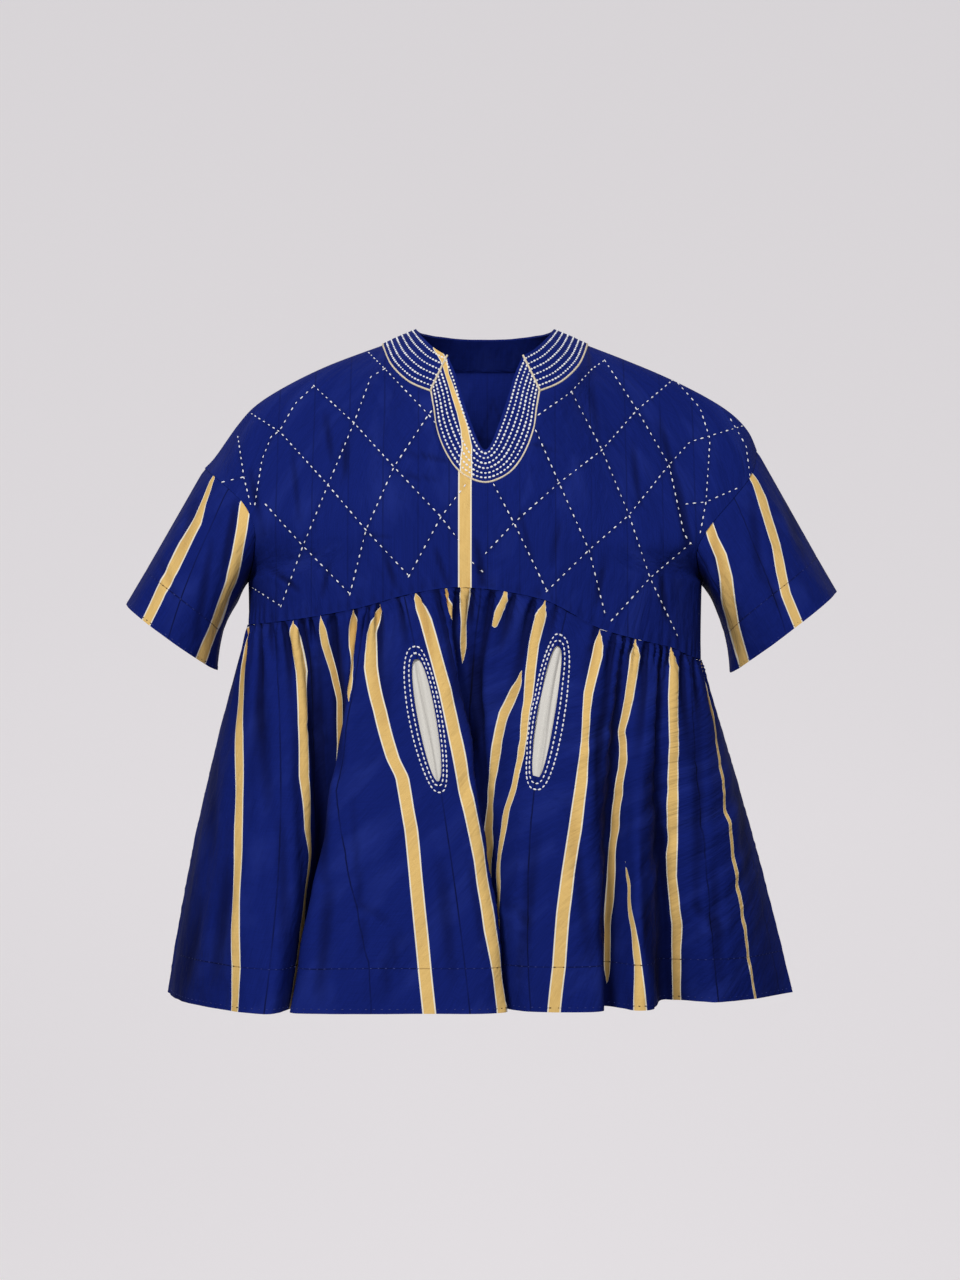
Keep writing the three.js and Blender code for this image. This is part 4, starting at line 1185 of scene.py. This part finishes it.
# stripes are lines and widths down the rows, with the heights where they start and end
def skirtNotes(sheet, stripes, strips, pleatRows, creases):
    grid, fold, fall, across, down = (sheet[key] for key in ("grid", "fold", "fall", "across", "down"))
    seed = skirt["seed"][sheet["face"]]
    stripe = np.full(fold.shape, plainNotes["stripe"])
    for line, width, first, last in stripes:
        shown = smoothStep(fall, first - 0.005, first + 0.06) * smoothStep(-fall, -last - 0.005, -last + 0.06)
        # one that starts at the seam comes out of its gather in a point
        shown = shown * smoothStep(down, -5, 20 if first < -5 else 0)
        away = np.abs(across - arcsAt(sheet, line))
        stripe = np.minimum(stripe, away / np.maximum(width[:, None] * shown, 1e-3))
    seams = np.concatenate([arcsAt(sheet, line) for line in strips], 1)
    strip, gap, away = stripsFrom(across, seams)
    hem = down[-1:] - down - skirt["hem"]
    ends = smoothStep(fold, 0, 1) * smoothStep(fold.max() - fold, 0, 1)
    loose = smoothStep(fall, 0.02, 0.3)
    gathered = gathersAt(sheet, pleatRows)
    worked = creased(*flat(grid), creases) * loose

    def shaded(key, value):
        share, depth = skirt[key]
        return share * np.clip(-value / depth, 0, 1)

    # painted shade in the pleats and creases, in a band under the yoke's seam and in the valleys between the
    # folds
    seamShare, seamReach = skirt["seamShade"]
    shade = (shaded("pleatShade", gathered) + shaded("creaseShade", worked)
             + seamShare * bell(down, seamReach) + skirt["valleyShade"] * valley(grid) * ends)
    uneven = skirt["gatherUneven"] * ripple(across, 0 * down, seed + 9, skirt["gatherSize"])
    gathers = skirt["gathers"] * np.cos(2 * math.pi * (across / skirt["gatherPitch"] + uneven))
    nearSeam = bell(down, 5)
    # the folds' own waves are taken back at the seam, so the skirt's edge meets the yoke
    flush = np.cos(2 * math.pi * fold) * bell(down, skirt["flushHalf"])
    wrinkle = ripple(across, down, seed, skirt["wrinkleSize"], skirt["wrinkleStretch"])
    fine = ripple(across, down, seed + 2, skirt["fineSize"], skirt["fineStretch"])
    rise = (skirt["wrinkle"] * loose * ends * wrinkle + skirt["fine"] * loose * fine + worked * ends
            + (gathers * (1 - fall) ** skirt["gatherFade"] * (1 - 0.7 * nearSeam)
               - skirt["flush"] * garment["gather"] * flush + gathered * (1 - 0.6 * nearSeam)) * ends
            - skirt["groove"] * bell(away, skirt["grooveHalf"])
            - skirt["hemGroove"] * bell(hem, skirt["hemHalf"])
            + skirt["puff"] * bell(away, skirt["puffHalf"])
            * ripple(7 * down, across, seed + 4, skirt["puffSize"]))
    return {"stripe": stripe, "strip": strip, "gap": gap, "hem": hem, "shade": shade, "across": across,
            "down": down, "rise": rise}


# which cells of the front are cloth and not slit
def clothCells(sheet):
    columnMiddle = (np.arange(columnsCount - 1) + 0.5) / skirt["perFold"]
    rowMiddle = (sheet["fall"][:-1, 0] + sheet["fall"][1:, 0]) / 2
    shut = np.ones((rowsCount - 1, columnsCount - 1), bool)
    for slit in pockets.values():
        inHeight = (rowMiddle > slit["top"]) & (rowMiddle < slit["bottom"])
        shut &= ~(inHeight[:, None] & (np.abs(columnMiddle - slit["fold"]) < 0.5)[None])
    return shut


frontStrips = [stripeLine(*place)[0] if isinstance(place, tuple) else place for place in skirt["frontStrips"]]
frontNotes = skirtNotes(front, frontStripes, frontStrips, pleats["front"], skirt["frontCreases"])
for first, last, drawn in skirt["slivers"]:
    between = (front["fold"] > first) & (front["fold"] < last)
    sliver = drawnStripe(front["grid"], drawn) + np.where(between, 0, plainNotes["stripe"])
    frontNotes["stripe"] = np.minimum(frontNotes["stripe"], sliver)
frontCloth = Cloth().add(front["grid"], frontNotes, False, clothCells(front))
skirtFront, skirtFrontSkin = sew("gathered_skirt_front", frontCloth, stripedCotton, "skirt_front",
                                 garment["cloth"])

# the back's stripes run straight down, each a little slanted
full = np.ones(len(back["fall"]))
backStripes = [(mix(place, place + skirt["backSlant"] * math.sin(3 * place), back["fall"][:, 0]), full, -9, 9)
               for place in skirt["backStripes"]]
backNotes = skirtNotes(back, backStripes, skirt["backStrips"], pleats["back"], skirt["backCreases"])
backCloth = Cloth().add(back["grid"], backNotes, False)
skirtBack, skirtBackSkin = sew("gathered_skirt_back", backCloth, stripedCotton, "skirt_back",
                               garment["cloth"])

# pocket linings, just behind their slits
lining = {
    "beyond": 0.035, "half": 0.55, "rows": 48, "columns": 28, "thickness": 1.0, "behind": -3.4,
    "lobe": 1.3, "lobeAt": 5, "lobeHalf": 3.5, "crease": 1.0, "creaseHalf": 1.6,
    "creaseSway": 1.2, "swayLength": 28, "wrinkle": 0.35,
}


def liningPiece(key):
    slit = pockets[key]
    fall = np.linspace(slit["top"] - lining["beyond"], slit["bottom"] + lining["beyond"], lining["rows"] + 1)
    fold = slit["fold"] + np.linspace(-lining["half"], lining["half"], lining["columns"] + 1)
    fold, fall = np.broadcast_arrays(fold[None], fall[:, None])
    grid = skirtPoints(-1, fold, fall)
    across, down = lengths(grid)
    middle = across - across[:, -1:] / 2
    # two soft lobes of cloth that meet in a crease down the middle, which the look darkens with painted shade
    lobes = (lining["lobe"] * bell(np.abs(middle) - lining["lobeAt"], lining["lobeHalf"])
             - lining["crease"] * bell(middle, lining["creaseHalf"]))
    calm = smoothStep(fall, fall.min(), fall.min() + 0.08) * smoothStep(fall.max() - fall, 0, 0.08)
    notes = {"hem": middle + lining["creaseSway"] * np.sin(down / lining["swayLength"]), "across": across,
             "down": down, "rise": lobes * calm + lining["wrinkle"] * ripple(across, down, 7, 26, 3)}
    return sew("pocket_cloth_" + key, Cloth().add(grid, notes, False), liningCotton, "pocket_lining_" + key,
               lining["thickness"], lining["behind"])[0]


linings = {key: liningPiece(key) for key in pockets}

# neckband and placket, with the gold stripe that runs over them: right, down and half width
band = {
    "lift": 1.9, "perSpoke": 16, "across": 34, "crown": 0.5, "wrinkle": 0.15, "linePerSpoke": 20,
    "stripe": [(437, 349, 3.4), (444, 361, 3.2), (447, 375, 1.9), (453, 393, 2.6), (460, 413, 3.3),
               (464.5, 430, 4.0), (467, 448, 5.3), (466, 460, 6.0), (466, 475, 6.3), (465.5, 490, 6.3)],
}


def bandPiece(name, start, end):
    turn = start + np.arange((end - start) * band["perSpoke"] + 1) / band["perSpoke"]
    shares = np.linspace(0.0, 1, band["across"] + 1)
    grid = np.stack([bandPoint(turn, np.full_like(turn, share)) for share in shares])
    along, outward = lengths(grid)
    crown = band["crown"] * np.sin(math.pi * shares)[:, None]
    stripe = drawnStripe(grid, band["stripe"]) + np.where(grid[..., 1] > 0, plainNotes["stripe"], 0)
    cloth = Cloth().add(grid, {"stripe": stripe, "across": outward, "down": along,
                               "rise": crown + band["wrinkle"] * ripple(along, outward, 11, 30)}, False)
    return sew("stitched_" + name, cloth, bandCotton, name, garment["band"], band["lift"])[0]


placket = bandPiece("placket", placketStart, placketEnd)
neckband = bandPiece("neckband", placketEnd, bandEnd)
print("all cloth is sewn")

# the flat cut of what each piece shows: width and length in metres, how it is held and on what
cuts = [
    (yokeFront, "cloth", (0.66, 0.37), 0.205, "draped", ["yoke_back"]),
    (yokeBack, "cloth", (0.66, 0.38), 0.22, "draped", ["yoke_front"]),
    (sleeves[-1]["piece"], "cloth", (0.42, 0.185), None, "hung", ["yoke_front", "yoke_back"]),
    (sleeves[1]["piece"], "cloth", (0.42, 0.185), None, "hung", ["yoke_front", "yoke_back"]),
    (skirtFront, "cloth", (1.12, 0.47), 0.49, "gathered", ["yoke_front"]),
    (skirtBack, "cloth", (1.04, 0.47), 0.445, "gathered", ["yoke_back"]),
    (linings["left"], "lining", (0.05, 0.16), None, "laid", ["skirt_front"]),
    (linings["right"], "lining", (0.05, 0.17), None, "laid", ["skirt_front"]),
    (neckband, "band", (0.26, 0.25), 0.026, "laid", ["yoke_front", "yoke_back"]),
    (placket, "band", (0.13, 0.17), 0.0105, "laid", ["yoke_front"]),
]
for piece, slot, size, area, held, carriers in cuts:
    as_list(carriers)


# what follows a line: stitches and piping, made by rules with named inputs in metres
def socketOf(rule, name):
    return next(item.identifier for item in rule.interface.items_tree if item.name == name)


def geometryRule(name, sizes):
    rule = bpy.data.node_groups.new(name, "GeometryNodeTree")
    rule.interface.new_socket("Geometry", in_out="INPUT", socket_type="NodeSocketGeometry")
    for label, value in sizes.items():
        made = rule.interface.new_socket(label, in_out="INPUT", socket_type="NodeSocketFloat")
        made.default_value = value
    rule.interface.new_socket("Material", in_out="INPUT", socket_type="NodeSocketMaterial")
    rule.interface.new_socket("Geometry", in_out="OUTPUT", socket_type="NodeSocketGeometry")
    start, end = rule.nodes.new("NodeGroupInput"), rule.nodes.new("NodeGroupOutput")

    def add(kind, values=None, **settings):
        node = rule.nodes.new(kind)
        for key, value in settings.items():
            setattr(node, key, value)
        for key, value in (values or {}).items():
            if isinstance(value, bpy.types.NodeSocket):
                rule.links.new(value, node.inputs[key])
            else:
                node.inputs[key].default_value = value
        return node

    # turns what is made into a plain mesh of one material
    def close(made):
        real = add("GeometryNodeRealizeInstances", {"Geometry": made.outputs[0]})
        painted = add("GeometryNodeSetMaterial",
                      {"Geometry": real.outputs[0], "Material": start.outputs["Material"]})
        rule.links.new(painted.outputs[0], end.inputs[0])
        return rule

    return start, add, close


# a rounded stitch at each pitch along the line, flat side to the cloth
def stitchRule():
    sizes = {"Pitch": 0.004, "Length": 0.003, "Width": 0.0015, "Height": 0.0009, "Unevenness": 0.12}
    start, add, close = geometryRule("stitchesOnLines", sizes)
    curve = add("GeometryNodeMeshToCurve", {"Mesh": start.outputs["Geometry"]})
    spaced = add("GeometryNodeResampleCurve", {"Curve": curve.outputs[0], "Length": start.outputs["Pitch"]},
                 mode="LENGTH")
    bead = add("GeometryNodeMeshUVSphere", {"Segments": 8, "Rings": 5, "Radius": 0.5})
    size = add("ShaderNodeCombineXYZ", {0: start.outputs["Length"], 1: start.outputs["Width"],
                                        2: start.outputs["Height"]})
    shaped = add("GeometryNodeTransform", {"Geometry": bead.outputs[0], "Scale": size.outputs[0]})
    along = add("GeometryNodeInputTangent")
    up = add("GeometryNodeInputNamedAttribute", {"Name": "up"}, data_type="FLOAT_VECTOR")
    turned = add("FunctionNodeAlignRotationToVector", {"Vector": along.outputs[0]}, axis="X")
    turned = add("FunctionNodeAlignRotationToVector",
                 {"Rotation": turned.outputs[0], "Vector": up.outputs[0]}, axis="Z", pivot_axis="X")
    low = add("ShaderNodeMath", {0: 1.0, 1: start.outputs["Unevenness"]}, operation="SUBTRACT")
    high = add("ShaderNodeMath", {0: 1.0, 1: start.outputs["Unevenness"]}, operation="ADD")
    chance = add("FunctionNodeRandomValue", {2: low.outputs[0], 3: high.outputs[0], "Seed": 12},
                 data_type="FLOAT")
    placed = add("GeometryNodeInstanceOnPoints", {"Points": spaced.outputs[0], "Instance": shaped.outputs[0],
                                                  "Rotation": turned.outputs[0], "Scale": chance.outputs[1]})
    return close(placed)


# a round cord along each line
def cordRule():
    start, add, close = geometryRule("cordOnLines", {"Width": 0.0022})
    curve = add("GeometryNodeMeshToCurve", {"Mesh": start.outputs["Geometry"]})
    half = add("ShaderNodeMath", {0: start.outputs["Width"], 1: 0.5}, operation="MULTIPLY")
    ring = add("GeometryNodeCurvePrimitiveCircle", {"Resolution": 8, "Radius": half.outputs[0]})
    cord = add("GeometryNodeCurveToMesh", {"Curve": curve.outputs[0], "Profile Curve": ring.outputs[0],
                                           "Fill Caps": True})
    return close(add("GeometryNodeSetShadeSmooth", {"Geometry": cord.outputs[0]}))


stitches, cords = stitchRule(), cordRule()


# lines are pairs of places and upward directions, in millimetres
def trim(name, rule, lines, material, sizes):
    points, ups, edges = [], [], []
    for line, up in lines:
        edges += [(len(points) + k, len(points) + k + 1) for k in range(len(line) - 1)]
        points += (np.asarray(line) * 0.001).tolist()
        ups += np.asarray(up).tolist()
    mesh = bpy.data.meshes.new(name + "Lines")
    mesh.from_pydata(points, edges, [])
    store = mesh.attributes.new("up", "FLOAT_VECTOR", "POINT")
    store.data.foreach_set("vector", np.array(ups, np.float32).reshape(-1))
    source = bpy.data.objects.new(name + "Lines", mesh)
    scene.collection.objects.link(source)
    modifier = source.modifiers.new("trim", "NODES")
    modifier.node_group = rule
    for label, value in sizes.items():
        modifier[socketOf(rule, label)] = value
    modifier[socketOf(rule, "Material")] = material
    bpy.context.view_layer.update()
    shown = source.evaluated_get(bpy.context.evaluated_depsgraph_get())
    plain = bpy.data.meshes.new_from_object(shown)
    plain.name = name
    plain.shade_smooth()
    bpy.data.objects.remove(source)
    piece = bpy.data.objects.new(name, plain)
    scene.collection.objects.link(piece)
    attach(piece, "root")
    print(name, "laid:", len(lines), "lines,", len(plain.polygons), "faces")


# drops a line onto a skin along the given directions, from so far above
def settle(skinTree, line, ups, lift, above=9):
    settled, normals = [], []
    for place, up in zip(line, ups):
        up = Vector(up).normalized()
        hit, normal, _, _ = skinTree.ray_cast(Vector(place) + up * above, -up, 2 * above)
        if hit is None:
            continue
        normal = normal if normal.dot(up) > 0 else -normal
        settled.append(hit + normal * lift)
        normals.append(normal)
    return np.array(settled), np.array(normals)


# a line of the layout cast onto a skin, broken where it runs off
casting = {"step": 2.5, "lift": 0.25, "longestStep": 14, "fewest": 4}


def cast(skinTree, drawn, behind=False):
    parts, line, ups = [], [], []

    def finishPart():
        if len(line) >= casting["fewest"]:
            parts.append((np.array(line), np.array(ups)))
        line.clear()
        ups.clear()

    for (startX, startZ), (endX, endZ) in zip(drawn[:-1], drawn[1:]):
        count = max(2, int(math.hypot(endX - startX, endZ - startZ) / casting["step"]))
        for part in np.arange(count) / count:
            hit, normal, _, _ = seen(skinTree, mix(startX, endX, part), mix(startZ, endZ, part), behind)
            if hit is None or (line and (hit - line[-1]).length > casting["longestStep"]):
                finishPart()
            if hit is not None:
                normal = -normal if normal.y * (1 if behind else -1) < 0 else normal
                line.append(hit + normal * casting["lift"])
                ups.append(normal)
    finishPart()
    return parts


insideChest = (0, 0, -200)     # all of the band faces away from here


# line along the band at a share of its width, lifted onto its outer skin
def bandLine(start, end, share, lift):
    turn = np.arange(start * band["linePerSpoke"], end * band["linePerSpoke"] + 1) / band["linePerSpoke"]
    share = np.broadcast_to(np.asarray(share, float), turn.shape)
    small = 0.01
    place = bandPoint(turn, share)
    inside = np.clip(turn, start + small, end - small)
    along = bandPoint(inside + small, share) - bandPoint(inside - small, share)
    outward = bandPoint(inside, share + small) - bandPoint(inside, share - small)
    up = np.cross(along, outward)
    up /= np.linalg.norm(up, axis=1, keepdims=True)
    up *= np.sign((up * (place - insideChest)).sum(1, keepdims=True))
    crown = band["crown"] * np.sin(math.pi * np.clip(share, 0, 1))[:, None]
    return place + up * (lift + crown), up


bandStitch = {
    "neckband": (0.10, 0.26, 0.42, 0.58, 0.74, 0.88), "placket": (0.12, 0.27, 0.43, 0.58, 0.73, 0.87),
    "givesWay": (1, 7.0, 12.9),     # this row of the placket runs only here, and leaves the gold stripe free
    "fromEnd": 0.12, "lift": 0.3,
    "sizes": {"Pitch": 0.0047, "Length": 0.0036, "Width": 0.0024, "Height": 0.0014, "Unevenness": 0.16},
}


def bandRow(start, end, share):
    return bandLine(start, end, share, band["lift"] + bandStitch["lift"])


shortRow, shortStart, shortEnd = bandStitch["givesWay"]
gap = bandStitch["fromEnd"]
lines = [bandRow(placketEnd + gap, bandEnd - gap, share) for share in bandStitch["neckband"]]
for number, share in enumerate(bandStitch["placket"]):
    if number == shortRow:
        lines.append(bandRow(shortStart, shortEnd, share))
    else:
        lines.append(bandRow(placketStart + gap, placketEnd - gap, share))
trim("band_stitches", stitches, lines, whiteThread, bandStitch["sizes"])

# cream piping round the band's outer line and across it where the placket meets the neckband
pipe = {"sizes": {"Width": 0.0025}, "lift": 0.4, "sunk": 0.7, "points": 16}     # sunk where it edges the band


# the line along one spoke of the band
def acrossBand(turn):
    near = 1 / band["linePerSpoke"]
    found = [bandLine(turn - near, turn + near, share, band["lift"] + pipe["lift"])
             for share in np.linspace(0.0, 1.0, pipe["points"])]
    return tuple(np.concatenate([row[k][1:2] for row in found]) for k in (0, 1))


outerLift = band["lift"] - pipe["sunk"]
pipes = [bandLine(placketEnd, bandEnd, 1.0, outerLift), bandLine(placketStart, placketEnd, 1.0, outerLift),
         acrossBand(placketStart), acrossBand(placketEnd)]
trim("neck_piping", cords, pipes, creamCord, pipe["sizes"])

# quilting of the yoke: lines of running stitch that cross in diamonds
frontSkinTree, backSkinTree = rayTree(*yokeFrontSkin), rayTree(*yokeBackSkin)
lines = sum([cast(frontSkinTree, line) for line in frontDiamonds], [])
lines += sum([cast(backSkinTree, line, True) for line in backDiamonds()], [])
trim("quilting_stitches", stitches, lines, whiteThread, quilting["sizes"])

# stitches round the pocket slits
pocketStitch = {
    "sizes": {"Pitch": 0.0056, "Length": 0.0042, "Width": 0.0019, "Height": 0.0012, "Unevenness": 0.12},
    "points": 181, "lift": 0.3, "small": 0.004,
}
skirtFrontTree = rayTree(*skirtFrontSkin)


# a line of fold numbers and heights laid on the skirt's front
def onSkirt(fold, fall):
    small = pocketStitch["small"]
    along = skirtPoints(-1, fold + small, fall) - skirtPoints(-1, fold - small, fall)
    below = skirtPoints(-1, fold, fall + small) - skirtPoints(-1, fold, fall - small)
    return settle(skirtFrontTree, skirtPoints(-1, fold, fall), np.cross(below, along), pocketStitch["lift"])


lines = []
for slit in pockets.values():
    for wider, longer in slit["rows"]:
        turn = np.linspace(0, 2 * math.pi, pocketStitch["points"])
        half = (slit["bottom"] - slit["top"]) / 2 + longer
        fall = (slit["bottom"] + slit["top"]) / 2 - half * np.cos(turn)
        wide = (slit["half"] + wider) * (1 + slit["lean"] * np.cos(turn))
        out = np.sign(np.sin(turn)) * np.abs(np.sin(turn)) ** (2 * slit["round"])
        lines.append(onSkirt(slit["fold"] + wide * out, fall))
trim("pocket_stitches", stitches, lines, whiteThread, pocketStitch["sizes"])

# hem stitching: dark where it crosses the gold, blue elsewhere
hemStitch = {
    "gold": {"Pitch": 0.0052, "Length": 0.0026, "Width": 0.0011, "Height": 0.0007, "Unevenness": 0.3},
    "blue": {"Pitch": 0.0085, "Length": 0.0026, "Width": 0.0008, "Height": 0.0006, "Unevenness": 0.3},
    "edge": 5, "sleeveEdge": 3, "goldHalf": 7.5, "lift": 0.2,
}


# lines along a hem at distances from the edge, cut where the stripes' edges cross them
def hemLines(grid, notes, skin, distances):
    skinTree = rayTree(*skin)
    down = notes["down"]
    normals = np.cross(np.gradient(grid, axis=0), np.gradient(grid, axis=1))
    columns = np.arange(grid.shape[1])
    found = {"gold": [], "blue": []}
    for distance in distances:
        rows = np.array([np.interp(full - distance, column, np.arange(len(column)))
                         for full, column in zip(down[-1], down.T)])
        low = np.minimum(rows.astype(int), len(grid) - 2)
        part = (rows - low)[:, None]
        places = mix(grid[low, columns], grid[low + 1, columns], part)
        ups = mix(normals[low, columns], normals[low + 1, columns], part)
        onGold = notes["stripe"][low, columns] < hemStitch["goldHalf"]
        changes = np.flatnonzero(onGold[1:] != onGold[:-1]) + 1
        for run in np.split(columns, changes):
            if len(run) < 3:
                continue
            line = settle(skinTree, places[run], ups[run], hemStitch["lift"])
            if len(line[0]) > 2:
                found["gold" if onGold[run[0]] else "blue"].append(line)
    return found


hems = [hemLines(front["grid"], frontNotes, skirtFrontSkin, (skirt["hem"], hemStitch["edge"])),
        hemLines(back["grid"], backNotes, skirtBackSkin, (skirt["hem"], hemStitch["edge"]))]
hems += [hemLines(sleeves[side]["grid"], sleeves[side]["notes"], sleeves[side]["skin"],
                  (sleeve["hem"], hemStitch["sleeveEdge"])) for side in (-1, 1)]
for name, colour, thread in (("hem_dots", "gold", darkThread), ("hem_stitches", "blue", blueThread)):
    trim(name, stitches, sum((found[colour] for found in hems), []), thread, hemStitch[colour])


# floor and backdrop, in metres
studio = {
    "floor": -1.92, "front": 2.18, "back": 4.4, "top": 5.6, "bend": 1.11, "bendSteps": 12, "half": 3.0,
    "paper": (0.42, 0.41, 0.42, 1), "glow": (0.745, 0.716, 0.735, 1), "glowStrength": 0.71,
}


def sweep():
    bend = studio["bend"]
    turns = np.linspace(0, math.pi / 2, studio["bendSteps"] + 1)
    profile = [(studio["front"], studio["floor"])]
    profile += [(studio["back"] - bend * (1 - math.sin(turn)), studio["floor"] + bend * (1 - math.cos(turn)))
                for turn in turns]
    profile += [(studio["back"], studio["top"])]
    points = [(x, y, z) for y, z in profile for x in (-studio["half"], studio["half"])]
    faces = [(2 * k, 2 * k + 1, 2 * k + 3, 2 * k + 2) for k in range(len(profile) - 1)]
    mesh = bpy.data.meshes.new("backdrop")
    mesh.from_pydata(points, [], faces)
    mesh.shade_smooth()
    look = Look("palePaper", 0.95)
    look.shader.inputs["Base Color"].default_value = studio["paper"]
    look.shader.inputs["Emission Color"].default_value = studio["glow"]
    look.shader.inputs["Emission Strength"].default_value = studio["glowStrength"]
    mesh.materials.append(look.material)
    backdrop = bpy.data.objects.new("backdrop", mesh)
    scene.collection.objects.link(backdrop)


sweep()
